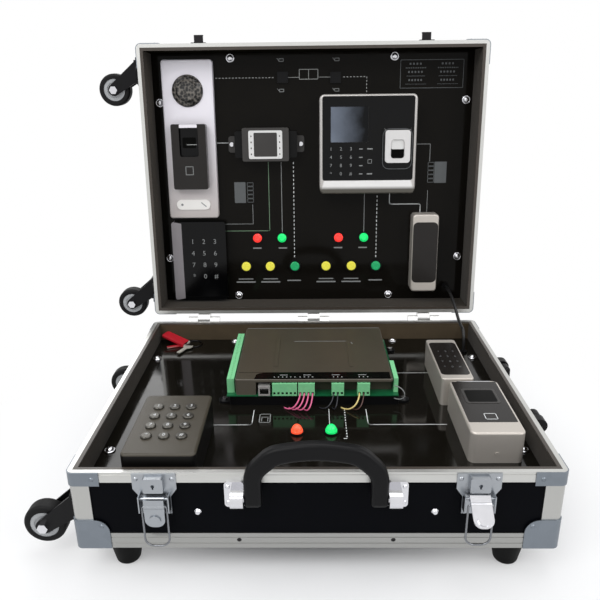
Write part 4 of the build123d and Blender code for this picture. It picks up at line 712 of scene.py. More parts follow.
@dataclass
class Relief:
    """A mesh that is drawn piece by piece on one half and then becomes one object."""

    name: str
    half: Half
    finish: AnyFinish
    body: str | None = None
    points: list[Vector] = field(default_factory=list)
    faces: list[tuple[int, ...]] = field(default_factory=list)

    def slab(self, corners: Sequence[Point2], level: float, thick: float = 0.15) -> None:
        """Add a closed slab on a flat outline.

        Args:
            corners: Its outline in millimetres, anticlockwise.
            level: The height of its underside.
            thick: Its thickness.
        """
        start, count = len(self.points), len(corners)
        for height in (level, level + thick):
            self.points += [self.half.world(x, y, height) for x, y in corners]
        self.faces.append(tuple(start + count + i for i in range(count)))
        self.faces.append(tuple(start + i for i in reversed(range(count))))
        for i in range(count):
            j = (i + 1) % count
            self.faces.append((start + i, start + j, start + count + j, start + count + i))

    def line(self, path: Sequence[Point2], level: float, width: float = 0.9, dash: float = 0.0,
             bend: float = 0.0) -> None:
        """Add a printed line.

        Args:
            path: Its corners in millimetres.
            level: The height of the surface.
            width: Its width.
            dash: The length of each dash, or nought for a whole line.
            bend: The radius of its corners, or nought for square ones.
        """
        if bend:
            path = self.bent(path, bend)
        for (x0, y0), (x1, y1) in zip(path, path[1:]):
            run = Vector((x1 - x0, y1 - y0))
            along = run.normalized()
            across = Vector((-along.y, along.x)) * (width / 2)
            length = run.length
            spans = [(-width / 2, length + width / 2)]
            if dash:
                count = max(int(length / (2 * dash)), 1)
                step = length / count
                spans = [(i * step, i * step + step / 2) for i in range(count)]
            for low, high in spans:
                a = Vector((x0, y0)) + along * low
                b = Vector((x0, y0)) + along * high
                corners = [a - across, b - across, b + across, a + across]
                self.slab([(c.x, c.y) for c in corners], level)

    def bent(self, path: Sequence[Point2], radius: float) -> list[Point2]:
        """A path whose corners are rounded off.

        Args:
            path: Its corners in millimetres.
            radius: How far before and after a corner the bend starts.

        Returns:
            The path with seven points at each corner.
        """
        places = [path[0]]
        for before, corner, after in zip(path, path[1:], path[2:]):
            knee = Vector(corner)
            start = knee + (Vector(before) - knee).normalized() * radius
            end = knee + (Vector(after) - knee).normalized() * radius
            for step in range(7):
                t = step / 6
                place = start * (1 - t) ** 2 + knee * (2 * t * (1 - t)) + end * t ** 2
                places.append((place.x, place.y))
        places.append(path[-1])
        return places

    def ring(self, x: float, y: float, inner: float, outer: float, level: float, thick: float) -> None:
        """Add a closed flat ring round a middle point.

        Args:
            x: The middle across, in millimetres.
            y: The middle up.
            inner: The radius of its hole.
            outer: The radius of its rim.
            level: The height of its underside.
            thick: Its thickness.
        """
        start, around, top = len(self.points), 36, level + thick
        for radius, height in ((inner, level), (outer, level), (outer, top), (inner, top)):
            for step in range(around):
                turn = 2 * pi * step / around
                self.points.append(self.half.world(x + radius * cos(turn), y + radius * sin(turn), height))
        for side in range(4):
            for step in range(around):
                a, b = start + side * around, start + (side + 1) % 4 * around
                after = (step + 1) % around
                self.faces.append((a + step, a + after, b + after, b + step))

    def tube(self, path: Sequence[Vector], radius: float, around: int = 10) -> None:
        """Add a closed round tube along a smooth line.

        Args:
            path: Places on the line, in millimetres in the row's frame.
            radius: Its radius in millimetres.
            around: How many sides it has.
        """
        start = len(self.points)
        side = Vector((0, 0, 1))
        for index, place in enumerate(path):
            ahead = (path[min(index + 1, len(path) - 1)] - path[max(index - 1, 0)]).normalized()
            side = (side - ahead * side.dot(ahead)).normalized()
            over = ahead.cross(side)
            for step in range(around):
                turn = 2 * pi * step / around
                self.points.append((place + (side * cos(turn) + over * sin(turn)) * radius) * MM)
        for index in range(len(path) - 1):
            a, b = start + index * around, start + (index + 1) * around
            for step in range(around):
                after = (step + 1) % around
                self.faces.append((a + step, a + after, b + after, b + step))
        self.faces.append(tuple(start + i for i in reversed(range(around))))
        self.faces.append(tuple(start + (len(path) - 1) * around + i for i in range(around)))

    def frame(self, x: float, y: float, width: float, height: float, level: float, line: float = 0.9) -> None:
        """Add a printed rectangle round a middle point.

        Args:
            x: The middle across, in millimetres.
            y: The middle up.
            width: How wide the rectangle is.
            height: How high it is.
            level: The height of the surface.
            line: The width of its line.
        """
        w, h = width / 2, height / 2
        corners = [(x - w, y - h), (x + w, y - h), (x + w, y + h), (x - w, y + h), (x - w, y - h)]
        self.line(corners, level, line)

    def rounded(self, x: float, y: float, width: float, height: float, radius: float, level: float,
                thick: float) -> None:
        """Add a slab with rounded corners round a middle point.

        Args:
            x: The middle across, in millimetres.
            y: The middle up.
            width: How wide the slab is.
            height: How high it is.
            radius: The radius of its corners.
            level: The height of its underside.
            thick: Its thickness.
        """
        corners = []
        for cx, cy, start in ((1, 1, 0.0), (-1, 1, 0.5), (-1, -1, 1.0), (1, -1, 1.5)):
            mx, my = x + cx * (width / 2 - radius), y + cy * (height / 2 - radius)
            for step in range(7):
                angle = pi * (start + step / 12)
                corners.append((mx + radius * cos(angle), my + radius * sin(angle)))
        self.slab(corners, level, thick)

    def dome(self, x: float, y: float, radius: float, rise: float, level: float) -> None:
        """Add a closed dome whose rim lies on the surface.

        Args:
            x: The middle across, in millimetres.
            y: The middle up.
            radius: The radius of its rim.
            rise: How high it stands.
            level: The height of its rim.
        """
        start, around, rings = len(self.points), 40, 10
        for ring in range(rings):
            angle = pi / 2 * ring / rings
            for step in range(around):
                turn = 2 * pi * step / around
                r, h = radius * cos(angle), rise * sin(angle)
                self.points.append(self.half.world(x + r * cos(turn), y + r * sin(turn), level + h))
        self.points.append(self.half.world(x, y, level + rise))
        top = len(self.points) - 1
        for ring in range(rings - 1):
            for step in range(around):
                a = start + ring * around + step
                b = start + ring * around + (step + 1) % around
                self.faces.append((a, b, b + around, a + around))
        last = start + (rings - 1) * around
        for step in range(around):
            self.faces.append((last + step, last + (step + 1) % around, top))
        self.faces.append(tuple(start + i for i in reversed(range(around))))

    def text(self, word: str, x: float, y: float, size: float, level: float) -> None:
        """Add plain digits.

        Args:
            word: The digits or sign.
            x: The middle across, in millimetres.
            y: The middle up, in millimetres.
            size: The height of the letters in millimetres.
            level: The height of the surface.
        """
        curve = bpy.data.curves.new("digit", "FONT")
        curve.body = word
        curve.size = size
        curve.extrude = 0.08
        curve.resolution_u = 3
        curve.align_x, curve.align_y = "CENTER", "CENTER"
        carrier = bpy.data.objects.new("digit", curve)
        bpy.context.scene.collection.objects.link(carrier)
        mesh = bpy.data.meshes.new_from_object(carrier.evaluated_get(bpy.context.evaluated_depsgraph_get()))
        start = len(self.points)
        self.points += [self.half.world(x + v.co.x, y + v.co.y, level + 0.1 + v.co.z) for v in mesh.vertices]
        self.faces += [tuple(start + i for i in p.vertices) for p in mesh.polygons]
        bpy.data.objects.remove(carrier)
        bpy.data.meshes.remove(mesh)
        bpy.data.curves.remove(curve)

    def keypad(self, first: Point2, pitch: Point2, size: float, level: float) -> None:
        """Add the ten digits and two signs of a keypad, three to a row.

        Args:
            first: The middle of the top left one in millimetres.
            pitch: How far apart the columns and the rows are.
            size: The height of the letters.
            level: The height of the surface.
        """
        for index, word in enumerate(KEY_WORDS):
            column, row = index % 3, index // 3
            self.text(word, first[0] + column * pitch[0], first[1] - row * pitch[1], size, level)

    def build(self, slot: str, smooth: bool = False) -> bpy.types.Object:
        """Make the object and let it ride on its body.

        Args:
            slot: Not used.
            smooth: Whether its faces are shaded smooth.

        Returns:
            The new object.
        """
        mesh = bpy.data.meshes.new(self.name)
        mesh.from_pydata([tuple(p) for p in self.points], [], self.faces)
        mesh.update()
        if smooth:
            mesh.shade_smooth()
        obj = bpy.data.objects.new(self.name, mesh)
        obj.data.materials.append(self.finish.value.build())
        bpy.context.scene.collection.objects.link(obj)
        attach(obj, self.body or self.half.body)
        LOG.info("built %s with %d faces", self.name, len(self.faces))
        return obj


def inset(name: str, half: Half, finish: AnyFinish, slot: str, centre: Point2, size: Point2, radius: float,
          level: float, thick: float) -> None:
    """Build one plate with rounded corners.

    Args:
        name: The name of the piece.
        half: The half of the case that it is on.
        finish: Its finish.
        slot: The record's material slot that it belongs to.
        centre: Its middle across and up, in millimetres.
        size: Its width and height.
        radius: The radius of its corners.
        level: The height of its underside.
        thick: Its thickness.
    """
    plate = Relief(name, half, finish)
    plate.rounded(*centre, *size, radius, level, thick)
    plate.build(slot)


@dataclass
class ScrewCups:
    """The bright cups that the screws of a panel sit in."""

    half: Half
    level: float
    front_pitch: float
    side_line: float = 250.0
    side_place: float = 130.0
    end_line: float = 198.0
    rear_place: float = 132.0
    radius: float = 5.9
    wire: float = 1.3
    rise: float = 0.7

    def build(self, name: str) -> None:
        """Make all eight cups as one piece.

        Args:
            name: The name of the piece.
        """
        cups = Relief(name, self.half, Metal.CHROME)
        side, front = self.side_line, self.front_pitch / 2
        places = [(x, y) for x in (-side, side) for y in (-self.side_place, self.side_place)]
        places += [(-self.rear_place, self.end_line), (self.rear_place, self.end_line)]
        places += [(-front, -self.end_line), (front, -self.end_line)]
        height = self.level + self.rise
        turns = [pi / 2 + 2 * pi * step / 24 for step in range(25)]
        for x, y in places:
            circle = [(x + self.radius * cos(turn), y + self.radius * sin(turn)) for turn in turns]
            cups.tube([self.half.world(*place, height) / MM for place in circle], self.wire, 8)
        cups.build("chrome", True)


# ------------------------------------------------------------------ the case
@dataclass
class Case:
    """The two halves of the case with their rails, guards and feet."""

    rivet_face: float = -216.05
    rivet_top: float = 20.5
    far_wall: float = 150.0

    def dress(self) -> None:
        """Give the case its finishes."""
        # each half's far wall takes a felt copy with painted light (base) and painted shade (lid)
        for half, rails, painted_light_felt in ((BASE, Metal.RAIL, Plastic.LIT_REAR_FELT),
                                       (LID, Metal.LID_RAIL, Plastic.SHADED_LID_FELT)):
            dress(f"{half.body}_shell", Plastic.LAMINATE)
            dress(f"{half.body}_lining", Plastic.FELT, painted_light_felt, half=half, pick=self.lining)
            dress(f"{half.body}_rails", rails, Metal.GUNMETAL, pick=self.rivets)
            dress(f"{half.body}_corner_guards", Metal.ZINC)
            dress(f"{half.body}_standoffs", Metal.CHROME)
            dress(f"{half.body}_hinge_leaves", Metal.HINGE)
        dress("rubber_feet", Plastic.RUBBER)

    def lining(self, place: Vector, normal: Vector) -> int:
        """The base's rear wall gets a lighter copy of the felt as painted light, and the lid's top wall a
        darker copy as painted shade.
        """
        return 1 if place.y > self.far_wall and abs(normal.y) > 0.7 else 0

    def rivets(self, place: Vector, normal: Vector) -> int:
        """The two rivets on the front of the base's lower rail are dark."""
        return 1 if place.y < self.rivet_face and place.z < self.rivet_top else 0


@dataclass
class Hardware:
    """Handles, latches and casters."""

    hub_radius: float = 17.2
    nut_stands: float = 4.0

    def dress(self) -> None:
        """Give the moving fittings their finishes."""
        finishes = {
            "front_handle": Plastic.HANDLE, "side_handle": Plastic.HANDLE,
            "front_handle_brackets": Metal.CHROME, "side_handle_brackets": Plastic.HANDLE,
            "latch_plates": Metal.LATCH, "latch_lever_left": Metal.LATCH, "latch_lever_right": Metal.CHROME,
            "latch_bail_left": Metal.STEEL, "latch_bail_right": Metal.STEEL, "latch_catches": Metal.GUNMETAL,
            "base_caster_plates": Plastic.POWDER, "lid_caster_plates": Plastic.POWDER,
        }
        for name, finish in finishes.items():
            dress(name, finish)
        for where in ("base_front", "base_rear", "lid_upper", "lid_lower"):
            self.caster(where)

    def caster(self, where: str) -> None:
        """Give one caster its finishes: black fork, bright nut, grey hub and dark tread.

        Args:
            where: The half and place that its nodes are named after.
        """
        low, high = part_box(f"{where}_wheel")
        middle = (Vector(low) + Vector(high)) / 2 / MM
        half_width = (high[1] - low[1]) / 2 / MM

        def fork(place: Vector, normal: Vector) -> int:
            """Bright axle nuts outside the arms."""
            return 1 if abs(place.y - middle.y) > half_width + self.nut_stands else 0

        def wheel(place: Vector, normal: Vector) -> int:
            """Tread outside, hub inside."""
            edge = self.hub_radius if abs(normal.y) >= 0.5 else self.hub_radius - 0.5
            return 0 if Vector((place.x - middle.x, place.z - middle.z)).length > edge else 1

        dress(f"{where}_fork", Plastic.POWDER, Metal.CHROME, pick=fork)
        dress(f"{where}_wheel", Plastic.TREAD, Plastic.HUB, pick=wheel)


# ------------------------------------------------------------------ what is on the base panel
@dataclass
class BaseDevices:
    """The keypad, readers, controller, lamps and keys on the base panel."""

    panel: float = 71.0
    controller_x: float = -1.0
    tray_ear: float = 117.0
    board_level: float = 85.0
    board_sheet: float = 1.6
    cover_height: float = 23.4
    cover_ends: Point2 = (-10.0, 150.0)
    jack: Point2 = (-68.5, 9.0)
    jack_mouth: Point3 = (6.2, 1.0, 12.0)
    terminals_end: float = 100.0
    terminal_pitch: float = 5.6
    terminal_face: float = 10.0
    mouth_band: Point2 = (-21.9, -14.0)
    wire_holes: Point2 = (2.0, 6.0)
    screw_tops: Point2 = (17.0, 20.5)
    keypad: Point2 = (-173.5, -132.5)
    keypad_top: float = 112.0
    keypad_rim: float = 9.0
    key_proud: float = 2.6
    key_rows: float = 1.9
    key_pitch: Point2 = (20.3, 22.2)
    pin: Point2 = (192.7, 44.5)
    finger: Point2 = (210.5, -91.5)
    finger_recess: Point3 = (27.2, -38.0, 61.0)
    finger_floor: float = 100.0
    reader_top: float = 111.0
    lamp_row: float = -90.0
    red_lamp: float = -23.0
    green_lamp: float = 20.5
    lens_radius: float = 7.6
    key_ring: Point2 = (-200.0, 186.0)
    ring_reach: Point2 = (11.5, 14.5)
    tag_corner: Point2 = (-214.5, 172.0)

    def dress(self) -> None:
        """Give the base devices their finishes."""
        dress("base_panel", Plastic.BASE_ACRYLIC, Plastic.RUBBER,
              pick=lambda place, normal: 1 if place.z > self.panel + 0.05 else 0)
        dress("power_supply", Plastic.POWDER)
        dress("keypad_housing", Plastic.KEYPAD, Plastic.KEYPAD_SIDE, pick=self.housing)
        dress("keypad_keys", Plastic.KEYCAP)
        dress("base_lamps", Plastic.HANDLE, Plastic.ORANGE_LENS, Plastic.GREEN_LENS, pick=self.lamp)
        dress("case_keys", Metal.KEY, Plastic.TAG, Metal.GUNMETAL, pick=self.keys)
        dress("pin_reader", Metal.READER, Plastic.SMOKE, pick=self.pane)
        dress("fingerprint_reader", Metal.READER, Plastic.SMOKE, Plastic.GLOSS, pick=self.finger_pane)
        dress("controller_tray", Plastic.POWDER, Metal.CHROME, pick=self.tray)
        dress("controller_cover", Plastic.COVER, Plastic.COVER_EDGE_HIGHLIGHT, pick=self.cover)
        dress("controller_board", Plastic.CIRCUIT, Plastic.TERMINAL, Plastic.HOLE_SHADE, Metal.JACK, Metal.CHROME,
              Plastic.STEP, pick=self.board)

    def housing(self, place: Vector, normal: Vector) -> int:
        """The keypad's sides are darker than its front."""
        return 0 if place.z > self.keypad_top - self.keypad_rim and normal.z > 0.1 else 1

    def cover(self, place: Vector, normal: Vector) -> int:
        """The controller cover's upright ends take a lighter copy of its plastic as a painted highlight."""
        front, rear = self.cover_ends
        return 1 if abs(normal.z) < 0.8 and (place.y < front or place.y > rear) else 0

    def lamp(self, place: Vector, normal: Vector) -> int:
        """Lens above the collar, red on the left and green on the right.

        Args:
            place: The middle of the face, in the half's millimetres.
            normal: Its outward direction.

        Returns:
            The number of its finish.
        """
        middle = Vector((self.red_lamp if place.x < 0 else self.green_lamp, self.lamp_row))
        outside = (place.xy - middle).length > self.lens_radius
        if place.z < self.panel + 1.0 or (place.z < self.panel + 2.05 and normal.z > -0.5 and outside):
            return 0
        return 1 if place.x < 0 else 2

    def keys(self, place: Vector, normal: Vector) -> int:
        """The tag is red, the keys are bright and the ring is dark.

        Args:
            place: The middle of the face, in the half's millimetres.
            normal: Its outward direction.

        Returns:
            The number of its finish.
        """
        if place.x < self.tag_corner[0] and place.y > self.tag_corner[1]:
            return 1
        inner, outer = self.ring_reach
        return 2 if inner < (place.xy - Vector(self.key_ring)).length < outer else 0

    def pane(self, place: Vector, normal: Vector) -> int:
        """The sunk pane on top is dark."""
        return 1 if self.reader_top - 1.0 < place.z < self.reader_top - 0.3 and normal.z > 0.9 else 0

    def finger_pane(self, place: Vector, normal: Vector) -> int:
        """The pane is dark and the finger recess is glossy.

        Args:
            place: The middle of the face, in the half's millimetres.
            normal: Its outward direction.

        Returns:
            The number of its finish.
        """
        side, front, rear = self.finger_recess
        inside = abs(place.x - self.finger[0]) < side and front < place.y - self.finger[1] < rear
        if inside and self.reader_top - 8 < place.z < self.reader_top - 0.7:
            return 2
        above = self.finger_floor < place.z < self.reader_top - 0.3
        return 1 if inside and above and normal.z > 0.5 else 0

    def tray(self, place: Vector, normal: Vector) -> int:
        """Bright screws on the ears."""
        on_ear = abs(place.x - self.controller_x) > self.tray_ear
        return 1 if on_ear and self.panel + 3.05 < place.z < self.panel + 8 else 0

    def board(self, place: Vector, normal: Vector) -> int:
        """Green board, light terminals whose holes are darkened with painted shade, and a metal jack.

        Args:
            place: The middle of the face, in the half's millimetres.
            normal: Its outward direction.

        Returns:
            The number of its finish.
        """
        sheet = self.board_level + self.board_sheet
        rise = place.z - sheet
        if place.z <= sheet + 0.01:
            return 0
        level_face = abs(normal.z) + abs(normal.x) > 0.5
        front, back = self.mouth_band
        jack_x, jack_half = self.jack
        if abs(place.x - jack_x) < jack_half and place.y < 0:
            half_mouth, foot, head = self.jack_mouth
            mouth = foot < rise < head and place.y > front and level_face
            return 5 if mouth and abs(place.x - jack_x) < half_mouth else 3
        front_screw, side_screw = self.screw_tops
        if abs(place.x - self.controller_x) < self.terminals_end:
            if rise < self.terminal_face and front < place.y < back and level_face:
                return 2 if self.wire_holes[0] < rise < self.wire_holes[1] else 1
            if normal.z > 0.9 and rise < front_screw:
                return 2 if rise < self.terminal_face else 4
            return 1
        return 4 if normal.z > 0.9 and rise < side_screw else 1

    def build(self) -> None:
        """Make the printed lines, digits, labels and trims on the base devices."""
        self.printed_lines()
        self.lamp_trims()
        self.keypad_digits()
        self.reader_marks()
        ScrewCups(BASE, self.panel, 230.0).build("base_screw_cups")
        self.controller_marks()
        self.wires()

    def printed_lines(self) -> None:
        """The lines between the devices and the plain outline of a network socket."""
        level = self.panel + 0.02
        lines = Relief("base_printed_lines", BASE, Plastic.PRINT)
        lines.line([(-134, -71), (-82, -71), (-82, -34)], level, 1.1, bend=5.0)
        lines.line([(69, -32), (69, -71), (170, -71)], level, 1.1, bend=5.0)
        lines.line([(121, 77), (171, 77)], level)
        lines.line([(19, -31), (19, -78)], level)
        lines.line([(40, -32), (40, -104), (31, -104)], level, 1.3, dash=3.2)
        lines.build("acrylic")
        symbol = Relief("base_jack_symbol", BASE, Plastic.FAINT)
        symbol.frame(-66, -54.5, 14, 21, level, 1.2)
        symbol.line([(-70, -62), (-70, -52), (-62, -52), (-62, -62)], level, 0.9)
        symbol.build("acrylic")

    def lamp_trims(self) -> None:
        """The black rims and the domes of the two lamps."""
        rims = Relief("base_lamp_rims", BASE, Plastic.HANDLE)
        for x in (self.red_lamp, self.green_lamp):
            rims.ring(x, self.lamp_row, 7.2, 9.4, self.panel + 0.5, 0.9)
        rims.build("black_plastic")
        for name, x, finish in (("red_lamp_dome", self.red_lamp, Plastic.ORANGE_LENS),
                                ("green_lamp_dome", self.green_lamp, Plastic.GREEN_LENS)):
            dome = Relief(name, BASE, finish)
            dome.dome(x, self.lamp_row, 7.45, 10.5, self.panel + 1.6)
            dome.build("black_plastic", True)

    def wires(self) -> None:
        """The controller's wires as smooth arcs that sweep down from their terminals to the panel."""
        mouth = self.board_level + self.board_sheet + 3.6
        curl = Relief("grey_loop_wire", BASE, Plastic.FAINT)
        curl.tube(self.arc(Vector((108.0, -17.0, mouth + 9.0)), Vector((126.0, -25.0, mouth + 9.0)),
                           Vector((126.0, -27.0, mouth - 13.0)), Vector((108.0, -19.5, mouth - 9.0))), 0.7)
        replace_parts(curl.build("wires", True), "controller_wires")
        pink = ((-22, 14), (-21, 17), (-17, 19), (-13, 21))  # how far each strays sideways and comes forward
        groups = (
            ("pink_wires", Plastic.WIRE_PINK, 1.0, -19.5, pink),
            ("black_wires", Plastic.WIRE_BLACK, 0.8, 25.8, ((-20, 12), (-8, 15))),
            ("yellow_wire", Plastic.WIRE_YELLOW, 1.0, 60.8, ((-25, 16),)),
            ("brown_wire", Plastic.WIRE_BROWN, 0.8, 66.4, ((-17, 18),)),
        )
        for name, finish, radius, first, ways in groups:
            arcs = Relief(name, BASE, finish)
            for index, (stray, forward) in enumerate(ways):
                x = first + index * self.terminal_pitch
                knots = (Vector((x, -19.0, mouth)), Vector((x - 0.5, -24.0 - forward * 0.7, mouth - 5.0)),
                         Vector((x + stray * 0.4, -30.0 - forward, self.panel + 1.5)),
                         Vector((x + stray, -24.0 - forward * 0.25, self.panel + 0.8)))
                arcs.tube(self.arc(*knots), radius)
            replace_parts(arcs.build("wires", True), "controller_wires")

    def arc(self, *knots: Vector) -> list[Vector]:
        """A smooth line between the first and the last of four places.

        Args:
            knots: Its start, the place it sets out for, the place it comes in from, and its end.

        Returns:
            The places along it.
        """
        path = []
        for step in range(25):
            t = step / 24
            weights = ((1 - t) ** 3, 3 * t * (1 - t) ** 2, 3 * t * t * (1 - t), t ** 3)
            path.append(sum((knot * weight for knot, weight in zip(knots, weights)), Vector()))
        return path

    def keypad_digits(self) -> None:
        """Plain digits on the keypad's keys."""
        first = (self.keypad[0] - self.key_pitch[0], self.keypad[1] + self.key_rows + 1.5 * self.key_pitch[1])
        digits = Relief("keypad_digits", BASE, Plastic.PRINT, "keypad_keys")
        digits.keypad(first, self.key_pitch, 7.5, self.keypad_top + self.key_proud)
        digits.build("keys_silver")

    def reader_marks(self) -> None:
        """Panes, digits and signs on the two readers."""
        top = self.reader_top
        x, y = self.pin
        digits = Relief("pin_reader_digits", BASE, Plastic.DIM)
        digits.keypad((x - 10.5, y + 22), (10.5, 17.0), 6.5, top + 0.2)
        digits.build("device_black")
        inset("pin_reader_pane", BASE, Plastic.SMOKE, "device_black", (x, y), (39.4, 107.0), 6.0,
              top - 0.05, 0.25)
        x, y = self.finger
        inset("fingerprint_reader_pane", BASE, Plastic.SMOKE, "device_black", (x, y + 10.2),
              (58.0, 102.6), 2.0, top - 0.9, 1.1)
        inset("fingerprint_reader_window_frame", BASE, Plastic.CHARCOAL, "device_black", (x, y + 22.5),
              (43.0, 38.0), 4.0, top - 0.5, 1.1)
        inset("fingerprint_reader_window", BASE, Plastic.WINDOW, "device_black", (x, y + 22.0),
              (36.5, 30.5), 3.0, top - 0.4, 1.15)
        mark = Relief("fingerprint_reader_marks", BASE, Plastic.PRINT)
        mark.frame(x, y - 28, 14, 13, top + 0.2, 1.0)
        mark.build("device_black")
        inset("fingerprint_reader_bar", BASE, Metal.CHROME, "device_black", (x, y + 62.0), (44, 1.6), 0.7,
              top - 0.05, 0.5)

    def controller_marks(self) -> None:
        """The label band with its row of lights, the seam, and pale lines painted as highlights on the
        controller's cover.
        """
        top = self.board_level + self.board_sheet + self.cover_height
        band_top = top + 0.25
        band = Relief("controller_label_band", BASE, Plastic.LABEL)
        band.slab([(-82, -18), (103, -18), (103, 1), (-70, 1), (-76, -1), (-80, -5)], top, band_top - top)
        band.build("black_plastic")
        lights = Relief("controller_lights", BASE, Plastic.PRINT)
        for first, count in ((-54.7, 6), (-19.5, 4), (25.8, 3), (60.8, 3)):
            for step in range(count):
                lights.rounded(first + step * self.terminal_pitch, -12.5, 1.5, 1.5, 0.7, band_top, 0.15)
        for x in (-47, -15, 24, 60):
            lights.line([(x, -6.5), (x + 10, -6.5)], band_top, 0.6)
        lights.build("black_plastic")
        seam = Relief("controller_cover_seam", BASE, Plastic.LABEL)
        seam.line([(-104, 1.9), (103, 1.9)], top - 0.02, 0.8)
        seam.build("black_plastic")
        # painted highlights: pale lines along the cover's rear edge and across its top
        edge = Relief("controller_cover_highlights", BASE, Plastic.FAINT)
        edge.line([(-106, 160.2), (104, 160.2)], top - 0.05, 1.1)
        edge.line([(-30, 108), (50, 108), (56, 105), (58, 98)], top - 0.05, 1.2)
        edge.build("black_plastic")


# ------------------------------------------------------------------ what is on the lid panel
@dataclass
class LidDevices:
    """The door station, readers, module, terminal, lamps and buttons on the lid panel."""

    panel: float = 29.0
    station: Point2 = (-201.5, 69.0)
    station_top: float = 41.0
    speaker: float = 79.0
    speaker_foot: float = 100.0
    call_button: float = -104.0
    reader_top: float = 56.0
    reader_pane: Point2 = (17.0, 45.0)
    touch: Point2 = (-195.5, -133.0)
    touch_top: float = 44.0
    touch_edge: float = 30.9
    module: Point2 = (-76.8, 63.0)
    module_top: float = 54.0
    module_ear: float = 55.0
    module_step: Point2 = (37.5, 51.5)
    tile: float = 18.9
    terminal: Point2 = (89.0, 61.5)
    terminal_top: float = 63.0
    terminal_foot: float = -61.0
    sensor: Point2 = (47.0, -6.5)
    sensor_plate: Point2 = (25.2, 33.2)
    sensor_block: Point2 = (20.1, 25.7)
    block_lift: float = 4.0
    sensor_window: Point2 = (11.0, 15.0)
    sensor_rim: Point2 = (23.5, 31.5)
    sensor_rise: float = 5.4
    card: Point2 = (189.0, -119.3)
    card_top: float = 56.0
    lamp_row: float = -95.0
    red_lamps: Point2 = (-96.0, 43.8)
    green_lamps: Point2 = (-53.6, 87.3)
    lens_radius: float = 7.55

    def dress(self) -> None:
        """Give the lid devices their finishes."""
        dress("lid_panel", Plastic.ACRYLIC, Plastic.RUBBER, half=LID,
              pick=lambda place, normal: 1 if place.z > self.panel + 0.05 else 0)
        dress("door_station_plate", Metal.PLATE, Plastic.SPEAKER, half=LID, pick=self.plate)
        dress("door_station_reader", Plastic.SMOKE, Plastic.GLOSS, half=LID, pick=self.station_pane)
        dress("touch_keypad", Plastic.GLOSS, Plastic.SIDE_GREY, half=LID,
              pick=lambda place, normal: 1 if place.x < self.touch[0] - self.touch_edge else 0)
        dress("door_module", Plastic.CHARCOAL, Plastic.LIGHT_FRAME, Metal.CHROME, Plastic.STEP, half=LID,
              pick=self.module_part)
        dress("fingerprint_terminal", Metal.SATIN, Plastic.GLOSS, Plastic.DISPLAY, Plastic.SENSOR,
              Plastic.WINDOW, Metal.BAND, half=LID, pick=self.terminal_part)
        dress("card_reader", Metal.READER, Plastic.SMOKE, half=LID)
        dress("lid_indicators", Plastic.HANDLE, Plastic.RED_LENS, Plastic.GREEN_LENS, half=LID,
              pick=self.lamp)
        for number in range(1, 5):
            dress(f"button_yellow_{number}", Plastic.YELLOW)
        for number in range(1, 3):
            dress(f"button_green_{number}", Plastic.GREEN)

    def plate(self, place: Vector, normal: Vector) -> int:
        """The speaker is dark."""
        return 1 if place.z > self.station_top + 0.05 and place.y > self.speaker_foot else 0

    def station_pane(self, place: Vector, normal: Vector) -> int:
        """The finger recess of the door station's reader is glossy.

        Args:
            place: The middle of the face, in the half's millimetres.
            normal: Its outward direction.

        Returns:
            The number of its finish.
        """
        side, foot = self.reader_pane
        inside = abs(place.x - self.station[0]) < side and place.y > foot
        return 1 if inside and self.station_top + 2 < place.z < self.reader_top - 0.2 else 0

    def module_part(self, place: Vector, normal: Vector) -> int:
        """Light frame round the tile and bright screws on the ears.

        Args:
            place: The middle of the face, in the half's millimetres.
            normal: Its outward direction.

        Returns:
            The number of its finish.
        """
        x, y = abs(place.x - self.module[0]), abs(place.y - self.module[1])
        if x > self.module_ear and place.z > self.panel + 3.05:
            return 2
        if self.module_step[0] < x < self.module_step[1]:
            return 3
        if place.z < self.module_top + 0.05:
            return 0
        return 0 if x < self.tile and y < self.tile and place.z < self.module_top + 0.9 else 1

    def terminal_part(self, place: Vector, normal: Vector) -> int:
        """Dark pane, display and sensor in a silver frame.

        Args:
            place: The middle of the face, in the half's millimetres.
            normal: Its outward direction.

        Returns:
            The number of its finish.
        """
        x = abs(place.x - self.terminal[0] - self.sensor[0])
        y = place.y - self.terminal[1] - self.sensor[1]
        rise = place.z - self.terminal_top
        outward = normal.z > 0.9
        if x < self.sensor_plate[0] and abs(y) < self.sensor_plate[1] and rise > -0.55:
            if x >= self.sensor_block[0] or abs(y - self.block_lift) >= self.sensor_block[1]:
                return 1
            window = x < self.sensor_window[0] and abs(y) < self.sensor_window[1] and 1.9 < rise < 6.5
            return 4 if window and outward else 3
        if -2 < rise < -0.3 and outward:
            return 2 if rise < -0.9 else 1
        return 5 if place.y - self.terminal[1] < self.terminal_foot and normal.z > 0.2 else 0

    def lamp(self, place: Vector, normal: Vector) -> int:
        """Lenses above their collars, in two colours; all else is black.

        Args:
            place: The middle of the face, in the half's millimetres.
            normal: Its outward direction.

        Returns:
            The number of its finish.
        """
        if place.z < self.panel + 1.05:
            return 0
        for index, row in ((1, self.red_lamps), (2, self.green_lamps)):
            if any((place.xy - Vector((x, self.lamp_row))).length < self.lens_radius for x in row):
                return index
        return 0

    def build(self) -> None:
        """Make the printed lines, digits and trims on the lid devices."""
        self.printed_lines()
        self.printed_signs()
        self.station_parts()
        self.touch_digits()
        self.terminal_parts()
        x, y = self.card
        inset("card_reader_pane", LID, Plastic.SMOKE, "device_black", (x, y + 1.5), (41.5, 104), 8.0,
              self.card_top - 0.1, 0.35)
        self.module_lights()
        ScrewCups(LID, self.panel, 264.0).build("lid_screw_cups")

